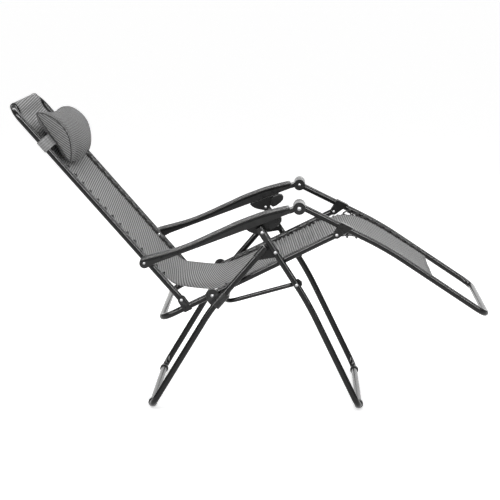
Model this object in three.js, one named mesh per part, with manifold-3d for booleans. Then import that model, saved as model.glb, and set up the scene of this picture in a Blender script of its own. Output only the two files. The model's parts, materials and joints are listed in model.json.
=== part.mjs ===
// Zero gravity recliner: folding tube-frame lounge chair with a laced mesh sling.
// Millimetres, +Z up, +X towards the feet, +Y towards the sitter's left.
// Origin: on the floor, midway between the two sides, below the middle of the chair's length.
// Side-view points are [x, z]. Side pieces are built on the right (-y) and mirrored to the left.
import * as THREE from 'three';
import { mergeVertices } from 'three/addons/utils/BufferGeometryUtils.js';
import Module from 'manifold-3d';

const wasm = await Module();
wasm.setup();

// ---------------------------------------------------------------- side-view vectors
const subtract = (a, b) => [a[0] - b[0], a[1] - b[1]];
const along = (point, direction, distance) =>
  [point[0] + direction[0] * distance, point[1] + direction[1] * distance];
const size = (a) => Math.hypot(a[0], a[1]);
const unit = (a) => [a[0] / size(a), a[1] / size(a)];
const direction = (from, to) => unit(subtract(to, from));
// quarter turns, as seen from the right of the chair with the feet to the right
const turnLeft = (a) => [-a[1], a[0]];
const turnRight = (a) => [a[1], -a[0]];
// local frame: [s along the direction, n along the normal] to side-view [x, z]
const frame = (origin, dir, normal) => ([s, n]) => along(along(origin, dir, s), normal, n);
const vec2 = ([x, y]) => new THREE.Vector2(x, y);
const vec3 = (x, y, z) => new THREE.Vector3(x, y, z);

// ---------------------------------------------------------------- dimensions
const TUBE_R = 11;            // seat, back and leg rest tubes
const LEG_R = 11;             // front and rear leg tubes
const BRACE_R = 7.5;          // leg brace tube
const Y_RAIL = 252;           // half width, centre of seat, back and leg rest rails
const Y_LEG = 279;            // half width, centre of front and rear legs
const Y_BRACE = 256;          // half width, centre of brace arms
const ARM_OUT = 324;          // outer face of the armrests
const ARM_IN = 269;           // inner face of the armrests
const FOOT_Z = 6.5;           // height of the floor crossbars before RAISE
const RAISE = 8.1;            // added to every z, so that the foot collars stand on z = 0
const CENTRE_X = 15.02;       // added to every x, so that x = 0 is the middle of the length
const SLING_HALF = 226;       // half width of the seat and leg mesh
const BACK_MESH_HALF = SLING_HALF - 18;
const SLING_T = 2.4;          // mesh thickness
const GAP = 0.3;              // air between touching pieces
const SOCKET_GAP = GAP + 0.1; // air between a tube and the piece around it
const BEND_STEP = 0.36;       // radians per segment of a tube bend

const SHANK_R = 3;            // rivet shank
const HOLE_R = 3.4;           // rivet hole in a tube
const SNUG_HOLE_R = SHANK_R + 0.25;
const LOOSE_HOLE_R = SHANK_R + 0.3;

// faces of the right-hand rails and leg
const RAIL_OUT = -Y_RAIL - TUBE_R;
const RAIL_IN = -Y_RAIL + TUBE_R;
const LEG_OUT = -Y_LEG - LEG_R;

// pivots
const ARM_FRONT = [151, 706];     // armrest / leg rest
const KNEE = [278, 607];          // seat rail / leg rest bracket
const CLAMP = [26, 619];          // front leg top / armrest clamp
const SEAT_HUB = [-144, 397];     // seat rail / rear leg hub
const BACK_PIVOT = [-250, 378];   // back frame / seat bracket
const ARM_REAR = [-371, 517];     // armrest / back frame
const LEG_CROSS = [71, 550];      // front leg / rear leg plate
const BRACE_PIVOT = [143, 438];   // front leg / brace

// tube centreline corners and ends
const BACK_HEAD = [-818, 1030.4];
const SEAT_REAR = [-320, 309.4];
const LEG_REST_BEND = [445, 561.4];
const LEG_REST_FOOT = [792, 330.8];
const FRONT_BEND = [181.7, 377.4];
const FRONT_FOOT = [361, FOOT_Z];
const REAR_TOP = [35.5, 565.5];
const REAR_BEND = [-149.3, 349];
const REAR_FOOT = [-355.7, FOOT_Z];
const BRACE_REAR = [-97, 370.5];
const FRONT_TOP_REACH = 17;       // front leg tube above the clamp pivot

const BACK_DIR = direction(BACK_PIVOT, BACK_HEAD);         // up the back
const BACK_NORMAL = turnRight(BACK_DIR);                   // out of the front of the back
const BACK_LENGTH = size(subtract(BACK_HEAD, BACK_PIVOT));
const onBack = frame(BACK_PIVOT, BACK_DIR, BACK_NORMAL);
const SEAT_DIR = direction(SEAT_HUB, KNEE);                // forwards along the seat
const LEG_REST_DIR = direction(ARM_FRONT, LEG_REST_BEND);
const FRONT_DIR = direction(FRONT_BEND, CLAMP);            // up the front leg
const REAR_DIR = direction(REAR_BEND, REAR_TOP);           // up the rear leg
const LEG_REST_TOP = along(ARM_FRONT, LEG_REST_DIR, 14);

// armrest underside and its frame
const ARM_SLOPE = 20.82 * Math.PI / 180;
const ARM_DIR = [Math.cos(ARM_SLOPE), Math.sin(ARM_SLOPE)];
const ARM_NORMAL = turnLeft(ARM_DIR);
const armUnderside = (x) => [x, 517 + Math.tan(ARM_SLOPE) * (x + 332)];

// top of the armrest pad, rear to front, [x, z]
const ARM_TOP = [
  [-386, 531], [-371, 536], [-333, 546], [-273, 563], [-227, 580], [-186, 598], [-146, 617],
  [-105, 636], [-65, 655], [-25, 671], [15, 686], [50, 696.5], [85, 705.5], [116, 712.5],
];

// mesh centrelines, [x, z]
const SLING_BACK_START = [[-262, 421.5], [-276, 426], [-292, 436], [-309, 452]];
const SLING_SEAT = [
  [-240, 418.5], [-215, 415], [-190, 412.5], [-165, 410.5], [-140, 411], [-115, 416], [-85, 427],
  [-40, 446], [20, 474], [80, 503.5], [140, 533], [190, 557], [230, 575], [266, 589],
];
const SLING_LEG = [
  [286, 595], [310, 598], [335, 597.5], [360, 592], [390, 580.5], [420, 566], [450, 549.5],
  [490, 525.5], [540, 494], [580, 468], [616, 444.5],
];

// ---------------------------------------------------------------- solids
// closed outward-facing manifold from a geometry; a manifold is passed through
function solid(body) {
  if (!(body instanceof THREE.BufferGeometry)) return body;
  const bare = new THREE.BufferGeometry();
  bare.setAttribute('position', body.attributes.position);
  bare.setIndex(body.index);
  const merged = mergeVertices(bare, 1e-4);
  const { position } = merged.attributes;
  const index = merged.index.array;
  const triangles = [];
  let volume = 0;
  for (let i = 0; i < index.length; i += 3) {
    const corners = [index[i], index[i + 1], index[i + 2]];
    if (new Set(corners).size < 3) continue;
    triangles.push(...corners);
    const [a, b, c] = corners.map((k) => vec3().fromBufferAttribute(position, k));
    volume += a.dot(b.cross(c));
  }
  if (volume < 0) {
    for (let i = 0; i < triangles.length; i += 3) {
      [triangles[i], triangles[i + 1]] = [triangles[i + 1], triangles[i]];
    }
  }
  return new wasm.Manifold(new wasm.Mesh({
    numProp: 3,
    vertProperties: new Float32Array(position.array),
    triVerts: new Uint32Array(triangles),
  }));
}
const join = (...parts) => parts.map(solid).reduce((a, b) => a.add(b));
const cut = (body, ...tools) => tools.reduce((a, b) => a.subtract(solid(b)), solid(body));

// ---------------------------------------------------------------- outlines
// shape without repeated or collinear points, so the end faces use every outline point
function shapeOf(outline) {
  const points = outline
    .filter((p, i, all) => size(subtract(p, all.at(i - 1))) > 0.02)
    .filter((p, i, all) => {
      const a = subtract(p, all.at(i - 1));
      const b = subtract(all[(i + 1) % all.length], p);
      const cross = a[0] * b[1] - a[1] * b[0];
      return Math.abs(cross) > 1e-4 * size(a) * size(b) || a[0] * b[0] + a[1] * b[1] < 0;
    });
  const shape = new THREE.Shape(points.map(vec2));
  shape.closePath();
  return shape;
}
// n + 1 points on an arc, angles in degrees
function arc(centre, radius, from, to, n) {
  return Array.from({ length: n + 1 }, (_, i) => {
    const angle = (from + (to - from) * i / n) * Math.PI / 180;
    return [centre[0] + radius * Math.cos(angle), centre[1] + radius * Math.sin(angle)];
  });
}
const circle = (centre, radius, sides) => arc(centre, radius, 0, 360 - 360 / sides, sides - 1);
// convex outline around circles, each [centre, radius]
function hull(circles, sides) {
  const points = circles.flatMap(([centre, radius]) => circle(centre, radius, sides));
  points.sort((a, b) => a[0] - b[0] || a[1] - b[1]);
  const cross = (o, a, b) => (a[0] - o[0]) * (b[1] - o[1]) - (a[1] - o[1]) * (b[0] - o[0]);
  const half = (list) => {
    const chain = [];
    for (const p of list) {
      while (chain.length > 1 && cross(chain.at(-2), chain.at(-1), p) <= 1e-6) chain.pop();
      chain.push(p);
    }
    chain.pop();
    return chain;
  };
  return [...half(points), ...half(points.slice().reverse())];
}
// line moved sideways, positive to the left of its run
function offset(line, distance) {
  return line.map((p, i) => {
    const before = line[Math.max(0, i - 1)];
    const after = line[Math.min(line.length - 1, i + 1)];
    return along(p, turnLeft(direction(before, after)), distance);
  });
}
const band = (line, thickness) =>
  [...offset(line, thickness / 2), ...offset(line, -thickness / 2).reverse()];

// ---------------------------------------------------------------- tubes
// path whose samples are exactly the listed points
class PointPath extends THREE.Curve {
  constructor(points) {
    super();
    this.points = points;
  }
  indexAt(u) {
    return Math.round(u * (this.points.length - 1));
  }
  getPointAt(u, target = vec3()) {
    return target.copy(this.points[this.indexAt(u)]);
  }
  getTangentAt(u, target = vec3()) {
    const i = this.indexAt(u);
    const [before, here, after] = [this.points[i - 1], this.points[i], this.points[i + 1]];
    target.set(0, 0, 0);
    if (before) target.add(here.clone().sub(before).normalize());
    if (after) target.add(after.clone().sub(here).normalize());
    return target.normalize();
  }
}
// 3D points with each inner corner { point, radius } replaced by an arc
function rounded(corners) {
  const out = [corners[0].point];
  for (let i = 1; i < corners.length - 1; i++) {
    const { point, radius } = corners[i];
    const back = corners[i - 1].point.clone().sub(point).normalize();
    const ahead = corners[i + 1].point.clone().sub(point).normalize();
    const turn = Math.PI - back.angleTo(ahead);
    const setback = radius * Math.tan(turn / 2);
    const start = point.clone().addScaledVector(back, setback);
    const end = point.clone().addScaledVector(ahead, setback);
    const inward = back.clone().add(ahead).normalize();
    const centre = point.clone().addScaledVector(inward, radius / Math.cos(turn / 2));
    const spoke = start.sub(centre);
    const axis = spoke.clone().cross(end.sub(centre)).normalize();
    const n = Math.max(2, Math.round(turn / BEND_STEP));
    for (let k = 0; k <= n; k++) {
      out.push(spoke.clone().applyAxisAngle(axis, turn * k / n).add(centre));
    }
  }
  out.push(corners.at(-1).point);
  return out;
}
function tube(points, radius, sides = 14) {
  return new THREE.ExtrudeGeometry(shapeOf(circle([0, 0], radius, sides)), {
    steps: points.length - 1,
    bevelEnabled: false,
    extrudePath: new PointPath(points),
  });
}
// U-shaped path: a side rail at -y, a crossbar at the rail's last point, the rail again at +y
function uPath(rail, y, cornerR, bendR) {
  const side = (sideY) => rail.map(([x, z], i) => ({
    point: vec3(x, sideY, z),
    radius: i === rail.length - 1 ? cornerR : bendR,
  }));
  return rounded([...side(-y), ...side(y).reverse()]);
}

// ---------------------------------------------------------------- other basic bodies
// side-view outline given thickness across y, y0 < y1
function plate(outline, y0, y1, { bevel = 0, bevelSteps = 1 } = {}) {
  const geometry = new THREE.ExtrudeGeometry(shapeOf(outline), {
    depth: y1 - y0 - 2 * bevel,
    bevelEnabled: bevel > 0,
    bevelSize: bevel,
    bevelThickness: bevel,
    bevelOffset: -bevel,
    bevelSegments: bevelSteps,
  });
  geometry.rotateX(Math.PI / 2);
  return geometry.translate(0, y1 - bevel, 0);
}
// cylinder across y
function drum(point, radius, y0, y1, sides) {
  const geometry = new THREE.CylinderGeometry(radius, radius, y1 - y0, sides);
  return geometry.translate(point[0], (y0 + y1) / 2, point[1]);
}
const hole = (point, radius = HOLE_R) => drum(point, radius, -400, 0, 10);
// holes through both rails
const railHoles = (point, radius = HOLE_R) =>
  [drum(point, radius, -400, -100, 10), drum(point, radius, 100, 400, 10)];
// cylinder along a side-view line
function rod(from, to, radius, { y = -Y_LEG, sides = 16 } = {}) {
  const run = subtract(to, from);
  const geometry = new THREE.CylinderGeometry(radius, radius, size(run), sides);
  geometry.rotateX(Math.PI / 2);
  geometry.rotateY(Math.atan2(run[0], run[1]));
  return geometry.translate((from[0] + to[0]) / 2, y, (from[1] + to[1]) / 2);
}
// the same, between two distances from a point
const rodAlong = (point, dir, from, to, radius, options) =>
  rod(along(point, dir, from), along(point, dir, to), radius, options);
// right-hand rivet: domed head outwards from outerY, low tail inwards from innerY
function rivet(point, outerY, innerY, { headR = 6, headH = 2.6, tailR = 5, tailH = 1.8 } = {}) {
  const profile = [
    [0, outerY - headH],
    [headR * 0.6, outerY - headH * 0.84],
    [headR * 0.92, outerY - headH * 0.4],
    [headR, outerY],
    [SHANK_R, outerY],
    [SHANK_R, innerY],
    [tailR, innerY],
    [tailR * 0.7, innerY + tailH],
    [0, innerY + tailH],
  ];
  return new THREE.LatheGeometry(profile.map(vec2), 10).translate(point[0], 0, point[1]);
}

// ---------------------------------------------------------------- materials and assembly
const finish = (settings) => () => new THREE.MeshStandardMaterial(settings);
const steel = finish({ color: 0x2b2b2c, roughness: 0.38, metalness: 0.55 });
const bracket = finish({ color: 0x252526, roughness: 0.45, metalness: 0.5 });
const plastic = finish({ color: 0x2a2a2b, roughness: 0.6, metalness: 0.0 });
const padding = finish({ color: 0x343435, roughness: 0.7, metalness: 0.0 });
const bright = finish({ color: 0xd3d4d6, roughness: 0.25, metalness: 0.95 });
const fabric = finish({ color: 0x8f9091, roughness: 0.9, metalness: 0.0 });
const cord = finish({ color: 0x1b1b1c, roughness: 0.8, metalness: 0.0 });
const elastic = finish({ color: 0x7d7e80, roughness: 0.85, metalness: 0.0 });

const chair = new THREE.Group();
chair.name = 'zero_gravity_recliner';

function put(name, body, makeMaterial) {
  const { vertProperties, triVerts } = solid(body).getMesh();
  const indexed = new THREE.BufferGeometry();
  indexed.setAttribute('position', new THREE.BufferAttribute(vertProperties, 3));
  indexed.setIndex(new THREE.BufferAttribute(triVerts, 1));
  const geometry = indexed.toNonIndexed();
  geometry.computeVertexNormals();
  geometry.translate(CENTRE_X, 0, RAISE);
  const mesh = new THREE.Mesh(geometry, makeMaterial());
  mesh.name = name;
  chair.add(mesh);
}
// a right-hand piece (-y) and its mirror image on the left
function pair(name, body, makeMaterial) {
  const right = solid(body);
  put(`${name}_r`, right, makeMaterial);
  put(`${name}_l`, right.mirror([0, 1, 0]), makeMaterial);
}

// ---------------------------------------------------------------- tube frames
function frameTube(name, { rail, y, cornerR, bendR, radius, sides, holes = [] }) {
  put(name, cut(tube(uPath(rail, y, cornerR, bendR), radius, sides), ...holes), steel);
}
frameTube('back_frame_tube', {
  rail: [along(BACK_PIVOT, BACK_DIR, -11), BACK_HEAD],
  y: Y_RAIL, cornerR: 52, radius: TUBE_R,
  holes: [...railHoles(BACK_PIVOT), ...railHoles(ARM_REAR)],
});
frameTube('seat_frame_tube', {
  rail: [along(KNEE, SEAT_DIR, 10), SEAT_REAR],
  y: Y_RAIL, cornerR: 50, radius: TUBE_R,
  holes: [...railHoles(KNEE), ...railHoles(SEAT_HUB)],
});
frameTube('leg_rest_tube', {
  rail: [LEG_REST_TOP, LEG_REST_BEND, LEG_REST_FOOT],
  y: Y_RAIL, cornerR: 46, bendR: 220, radius: TUBE_R,
});
frameTube('front_leg_tube', {
  rail: [along(CLAMP, FRONT_DIR, FRONT_TOP_REACH), FRONT_BEND, FRONT_FOOT],
  y: Y_LEG, cornerR: 44, bendR: 300, radius: LEG_R,
  holes: [...railHoles(CLAMP), ...railHoles(LEG_CROSS), ...railHoles(BRACE_PIVOT)],
});
frameTube('rear_leg_tube', {
  rail: [REAR_TOP, REAR_BEND, REAR_FOOT],
  y: Y_LEG, cornerR: 44, bendR: 220, radius: LEG_R,
});
frameTube('brace_tube', {
  rail: [along(BRACE_PIVOT, direction(BRACE_PIVOT, BRACE_REAR), -8), BRACE_REAR],
  y: Y_BRACE, cornerR: 42, radius: BRACE_R, sides: 12,
  holes: railHoles(BRACE_PIVOT, LOOSE_HOLE_R),
});

// ---------------------------------------------------------------- foot collars
const FOOT_PAD_R = 15.2;
const FOOT_PAD_Y = [-Y_LEG + 45, -Y_LEG + 61];

// collar on a floor crossbar, cut flat at the floor
function footPad(foot) {
  const [y0, y1] = FOOT_PAD_Y;
  const floor = new THREE.BoxGeometry(200, 300, 20);
  floor.translate(foot[0], -Y_LEG + 60, -10 - RAISE);
  return cut(drum(foot, FOOT_PAD_R, y0, y1, 30), floor,
    drum(foot, LEG_R + GAP, y0 - 5, y1 + 5, 24));
}
pair('front_foot_pad', footPad(FRONT_FOOT), plastic);
pair('rear_foot_pad', footPad(REAR_FOOT), plastic);

// ---------------------------------------------------------------- rear leg hub at the seat pivot
const HUB_OUT = -276.5;
const HUB_SLEEVE_R = 13.4;
const HUB_SLEEVE = [[-136.5, 364], [-99, 408]];   // lower and upper end on the rear leg
const HUB_ACROSS = [0.7607, -0.649];              // across the rear leg, forwards and down

function seatHub() {
  const [low, high] = HUB_SLEEVE;
  const disc = hull([[SEAT_HUB, 23], [along(SEAT_HUB, [0.4, -1], 12), 20]], 22);
  const web = hull([
    [along(SEAT_HUB, [-0.35, -0.9], 20), 8],
    [along(low, HUB_ACROSS, -8), 6],
    [low, 8],
  ], 16);
  const lowerLegDir = direction(REAR_FOOT, REAR_BEND);
  return cut(
    join(
      plate(disc, HUB_OUT, -264.8, { bevel: 1.2 }),
      rod(low, high, HUB_SLEEVE_R),
      rod(along(low, HUB_ACROSS, 6), along(high, HUB_ACROSS, 6), HUB_SLEEVE_R),
      plate(web, HUB_OUT, -266)),
    // leg tube above and below its bend
    rodAlong(REAR_BEND, REAR_DIR, -30, 160, LEG_R + SOCKET_GAP),
    hole(SEAT_HUB, SNUG_HOLE_R),
    rodAlong(REAR_BEND, lowerLegDir, -120, 0, LEG_R + GAP + 0.6));
}
pair('seat_hub_bracket', seatHub(), plastic);
pair('seat_hub_rivet', rivet(SEAT_HUB, HUB_OUT - GAP, RAIL_IN + 0.4), bright);

// ---------------------------------------------------------------- leg pivot plate
const LEG_PLATE_Y = [-267.4, -265.0];

// plate at the leg crossing, with a closed sleeve over the top of the rear leg
function legPivotPlate() {
  const outline = hull([
    [LEG_CROSS, 12],
    [along(REAR_TOP, REAR_DIR, -6), 11],
    [along(REAR_TOP, REAR_DIR, -52), 8],
    [along(LEG_CROSS, FRONT_DIR, -12), 9],
  ], 24);
  return cut(
    join(plate(outline, ...LEG_PLATE_Y), rodAlong(REAR_TOP, REAR_DIR, -46, 2.2, 13.2)),
    rodAlong(REAR_TOP, REAR_DIR, -80, 0.6, LEG_R + SOCKET_GAP),
    hole(LEG_CROSS, LOOSE_HOLE_R));
}
pair('leg_pivot_plate', legPivotPlate(), bracket);
pair('leg_pivot_rivet', rivet(LEG_CROSS, LEG_OUT - 0.1, LEG_PLATE_Y[1] + GAP), bright);

// ---------------------------------------------------------------- brace bracket
// [s down the front leg, n forward of it]
const BRACE_BRACKET = [[-19, -7], [-12, 12], [2, 17], [13, 12], [19, -4], [10, -13], [-10, -13]];

function braceBracket() {
  const down = direction(CLAMP, FRONT_BEND);
  const forward = turnLeft(down);
  const onLeg = frame(along(BRACE_PIVOT, forward, 3), down, forward);
  return cut(plate(BRACE_BRACKET.map(onLeg), -267.6, -264.0), hole(BRACE_PIVOT, SNUG_HOLE_R));
}
pair('brace_bracket', braceBracket(), bracket);
pair('brace_rivet', rivet(BRACE_PIVOT, LEG_OUT - 0.1, -Y_BRACE + BRACE_R + GAP), bright);

// ---------------------------------------------------------------- front leg cap
const CAP_R = 14;

const frontLegCap = () => cut(
  rodAlong(CLAMP, FRONT_DIR, -34, 20, CAP_R, { sides: 22 }),
  rodAlong(CLAMP, FRONT_DIR, -60, FRONT_TOP_REACH + GAP, LEG_R + SOCKET_GAP),
  hole(CLAMP));
pair('front_leg_cap', frontLegCap(), plastic);
// the tail stops short of the clamp plate so that the legs can fold
pair('clamp_rivet', rivet(CLAMP, -Y_LEG - CAP_R - 0.2, -264.9, { tailR: 4.6, tailH: 0.9 }), bright);

// ---------------------------------------------------------------- armrest clamp and lock lever
const CLAMP_Y = [-262.8, -260.4];
const LEDGE_OUT = -297.6;
const LEDGE_TOP = -1.4;       // from the armrest underside
const LEDGE_BOTTOM = -3.8;
const LEVER_PIVOT = along(armUnderside(69), ARM_NORMAL, -14);
const LEVER_PIN_R = 2.9;
// paddle outline, [x, z]
const LEVER = [
  [45, 629], [47, 650], [57, 663], [72, 670], [86, 669.5],
  [92, 662], [91, 651], [82, 640], [66, 628], [53, 623],
];

// half-disc plate on the inner side of the leg, with a ledge under the armrest
function clampBracket() {
  const onArm = frame(armUnderside(11), ARM_DIR, ARM_NORMAL);
  const rim = arc([0, 14], 50, 198, 342, 14).map(([s, n]) => onArm([s, Math.min(LEDGE_TOP, n)]));
  const cheek = hull([...rim.map((p) => [p, 0.01]), [CLAMP, 13]], 10);
  const ear = hull([[LEVER_PIVOT, 8], [onArm([20, -9]), 7], [onArm([52, -8]), 6]], 14);
  const ledge = [[-46, LEDGE_TOP], [-46, LEDGE_BOTTOM], [66, LEDGE_BOTTOM], [66, LEDGE_TOP]];
  return cut(
    join(
      plate(cheek, ...CLAMP_Y),
      plate(ear, ...CLAMP_Y),
      plate(ledge.map(onArm), LEDGE_OUT, CLAMP_Y[1])),
    hole(LEVER_PIVOT, LEVER_PIN_R + GAP));
}
// paddle on the inner side, hung on a pin in the clamp plate
const lockLever = () => join(
  plate(LEVER, CLAMP_Y[1] + GAP, -238, { bevel: 1.5 }),
  drum(LEVER_PIVOT, LEVER_PIN_R, -263.4, -259, 14));
pair('clamp_bracket', clampBracket(), bracket);
pair('lock_lever', lockLever(), plastic);

// ---------------------------------------------------------------- seat / back and knee brackets
const CHEEK_GAP = 0.4;        // rail face to the near face of the sheet
const CHEEK_FAR = 2.7;        // rail face to the far face of a cheek
const SADDLE_RIVET = 2.9;     // rail face to the rivet head and tail

// sheet bracket: cheeks either side of the rail, closed on the side away from the pivot
function saddle({ railPoint, railDir, towardsPivot, pivot, span }) {
  const onRail = frame(railPoint, railDir, towardsPivot);
  const end = span / 2;
  const edge = -TUBE_R - 0.6;
  const cheek = hull([[pivot, 12.5], [onRail([-end, edge]), 1.6], [onRail([end, edge]), 1.6]], 20);
  const near = -TUBE_R - CHEEK_GAP;
  const far = -TUBE_R - 2.2;
  const web = [[-end, far], [end, far], [end, near], [-end, near]].map(onRail);
  return cut(
    join(
      plate(cheek, RAIL_OUT - CHEEK_FAR, RAIL_OUT - CHEEK_GAP),
      plate(cheek, RAIL_IN + CHEEK_GAP, RAIL_IN + CHEEK_FAR),
      plate(web, RAIL_OUT - CHEEK_FAR, RAIL_IN + CHEEK_FAR)),
    hole(pivot, SNUG_HOLE_R));
}
const saddleRivet = (pivot) => rivet(pivot, RAIL_OUT - SADDLE_RIVET, RAIL_IN + SADDLE_RIVET);

const SEAT_BRACKET_X = -232;
const seatSlope = SEAT_DIR[1] / SEAT_DIR[0];
pair('seat_back_bracket', saddle({
  railPoint: [SEAT_BRACKET_X, SEAT_HUB[1] + seatSlope * (SEAT_BRACKET_X - SEAT_HUB[0])],
  railDir: SEAT_DIR,
  towardsPivot: turnLeft(SEAT_DIR),
  pivot: BACK_PIVOT,
  span: 26,
}), bracket);
pair('back_pivot_rivet', saddleRivet(BACK_PIVOT), bright);
pair('knee_bracket', saddle({
  railPoint: along(ARM_FRONT, LEG_REST_DIR, 173),
  railDir: LEG_REST_DIR,
  towardsPivot: turnRight(LEG_REST_DIR),
  pivot: KNEE,
  span: 42,
}), bracket);
pair('knee_rivet', saddleRivet(KNEE), bright);

// ---------------------------------------------------------------- front hinge of the armrest
const HINGE_DISC = arc(ARM_FRONT, 21, 0, 345, 23);
const KNUCKLE_Y = [-266.8, -237.4];

const legRestKnuckle = () => cut(
  plate(HINGE_DISC, ...KNUCKLE_Y, { bevel: 1.5 }),
  rodAlong(ARM_FRONT, LEG_REST_DIR, 13.4, 60, TUBE_R + SOCKET_GAP, { y: -Y_RAIL }),
  hole(ARM_FRONT, SNUG_HOLE_R));
pair('legrest_knuckle', legRestKnuckle(), plastic);
pair('arm_front_rivet',
  rivet(ARM_FRONT, -ARM_OUT - 0.4, KNUCKLE_Y[1] + GAP, { headR: 7.5, headH: 3, tailR: 5.5 }),
  bright);

// ---------------------------------------------------------------- armrests
const ARM_PAD_T = 12;
const ARM_END_GAP = 11;       // least distance of a curve point from either end point
const ARM_NOSE = [[124, 705], [140, 712], [146, 700], [128, 690.5]];

const padTop = new THREE.SplineCurve(ARM_TOP.map(vec2)).getPoints(17)
  .map((p) => [p.x, p.y])
  .filter((p, i, all) => i === 0 || i === all.length - 1
    || [all[0], all.at(-1)].every((end) => size(subtract(p, end)) > ARM_END_GAP));
const padOutline = (thickness) => [...padTop, ...offset(padTop, -thickness).reverse()];

function armrestRail() {
  const top = offset(padTop, -ARM_PAD_T - GAP).filter(([x]) => x > -366 && x < 112);
  const bottom = [];
  for (let x = 118; x >= -352; x -= 30) bottom.push(armUnderside(x));
  // rounded rear end, kept below the pad
  const rear = arc([ARM_REAR[0] + 1, ARM_REAR[1] - 1], 17.2, 292, 135, 7)
    .filter(([, z]) => z < 527);
  const outline = [...top, ...ARM_NOSE, ...bottom, ...rear];
  return cut(
    join(
      plate(outline, -ARM_OUT + 4, -ARM_IN - 2, { bevel: 1.6 }),
      plate(HINGE_DISC, -ARM_OUT, -ARM_IN, { bevel: 1.8 })),
    hole(ARM_FRONT, 7),
    hole(ARM_REAR, LOOSE_HOLE_R),
    // clearance so the pad stays a separate piece
    plate(padOutline(ARM_PAD_T + GAP), -ARM_OUT - 1, -ARM_IN + 1));
}
pair('armrest_pad',
  plate(padOutline(ARM_PAD_T), -ARM_OUT, -ARM_IN, { bevel: 4.5, bevelSteps: 2 }), padding);
pair('armrest_rail', armrestRail(), plastic);
pair('arm_rear_rivet', rivet(ARM_REAR, -ARM_OUT + 3.9, RAIL_IN + 0.4, { headR: 5.2 }), bright);

// ---------------------------------------------------------------- mesh sling
// up the back, over the head crossbar and a little way down behind it
function slingBackLine() {
  const loopR = TUBE_R + 1.6 + SLING_T / 2;
  return [
    ...SLING_BACK_START,
    ...[130, 250, 400, 550, 700, 800].map((s) => onBack([s, 0])),
    onBack([BACK_LENGTH - 34, 3]),
    onBack([BACK_LENGTH - 16, loopR * 0.8]),
    ...arc([BACK_LENGTH, 0], loopR, 70, -110, 8).map(onBack),
    onBack([BACK_LENGTH - 24, -loopR * 0.92]),
    onBack([BACK_LENGTH - 52, -loopR * 0.55]),
  ];
}
const sling = (line, half) => plate(band(line, SLING_T), -half, half);
put('sling_back', sling(slingBackLine(), BACK_MESH_HALF), fabric);
put('sling_seat', sling(SLING_SEAT, SLING_HALF), fabric);
put('sling_leg', sling(SLING_LEG, SLING_HALF), fabric);

// ---------------------------------------------------------------- lacing cords
const CORD_R = 1.9;
const CORD_HALF_TURN = 3.2;   // half the cord's run along the mesh at each turn
const CORD_MESH_GAP = 3.6;    // mesh edge to cord centre
const CORD_RAIL_GAP = 2.6;    // rail surface to cord centre

const lineLength = (line) =>
  line.slice(1).reduce((sum, p, i) => sum + size(subtract(p, line[i])), 0);
function pointAtLength(line, distance) {
  let passed = 0;
  for (let i = 0; ; i++) {
    const run = subtract(line[i + 1], line[i]);
    if (passed + size(run) >= distance || i === line.length - 2) {
      return along(line[i], run, (distance - passed) / size(run));
    }
    passed += size(run);
  }
}
function nearestPoint(line, point) {
  let best = null;
  for (let i = 0; i < line.length - 1; i++) {
    const run = subtract(line[i + 1], line[i]);
    const to = subtract(point, line[i]);
    const share = (to[0] * run[0] + to[1] * run[1]) / (run[0] * run[0] + run[1] * run[1]);
    const candidate = along(line[i], run, Math.min(1, Math.max(0, share)));
    const distance = size(subtract(candidate, point));
    if (!best || distance < best.distance) best = { candidate, distance };
  }
  return best.candidate;
}
// zigzag between the mesh edge and the rail; start and endMargin are measured along the mesh
function lacing({ mesh, rail, start, endMargin, pitch, half = SLING_HALF }) {
  const span = lineLength(mesh) - endMargin - start;
  const turns = 2 * Math.round(span / pitch);
  const points = [];
  for (let k = 0; k <= turns; k++) {
    const middle = start + span * k / turns;
    const isEnd = k === 0 || k === turns;
    for (const shift of isEnd ? [0] : [-CORD_HALF_TURN, CORD_HALF_TURN]) {
      const [x, z] = pointAtLength(mesh, middle + shift);
      if (k % 2 === 0) {
        points.push(vec3(x, -half - CORD_MESH_GAP, z));
      } else {
        const [railX, railZ] = nearestPoint(rail, [x, z]);
        const reach = vec3(x - railX, Y_RAIL - half, z - railZ).setLength(TUBE_R + CORD_RAIL_GAP);
        points.push(reach.add(vec3(railX, -Y_RAIL, railZ)));
      }
    }
  }
  return tube(points, CORD_R, 4);
}
pair('cord_back', lacing({
  mesh: [onBack([90, 0]), onBack([BACK_LENGTH - 60, 0])],
  rail: [BACK_PIVOT, BACK_HEAD],
  start: 10, endMargin: 12, pitch: 42, half: BACK_MESH_HALF,
}), cord);
pair('cord_seat', lacing({
  mesh: SLING_SEAT,
  rail: [SEAT_REAR, KNEE],
  start: 125, endMargin: 22, pitch: 40,
}), cord);
pair('cord_leg', lacing({
  mesh: SLING_LEG,
  rail: [LEG_REST_TOP, LEG_REST_BEND, LEG_REST_FOOT],
  start: 22, endMargin: 12, pitch: 38,
}), cord);

// ---------------------------------------------------------------- headrest
// pillow section, [s up the back from its pivot, n out of its front]
const PILLOW = [
  [584, 8], [596, 30], [612, 52], [634, 69], [662, 81], [694, 88], [724, 88],
  [752, 78], [773, 60], [788, 36], [795, 12], [780, 7], [690, 6], [600, 6],
];
const STRAP_T = 1.8;
const STRAP_WIDTH = 42;
const STRAP_BOTTOM = 680;     // lower edge, up the back from its pivot
const STRAP_R = TUBE_R + 3.4; // centreline round a rail

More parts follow.
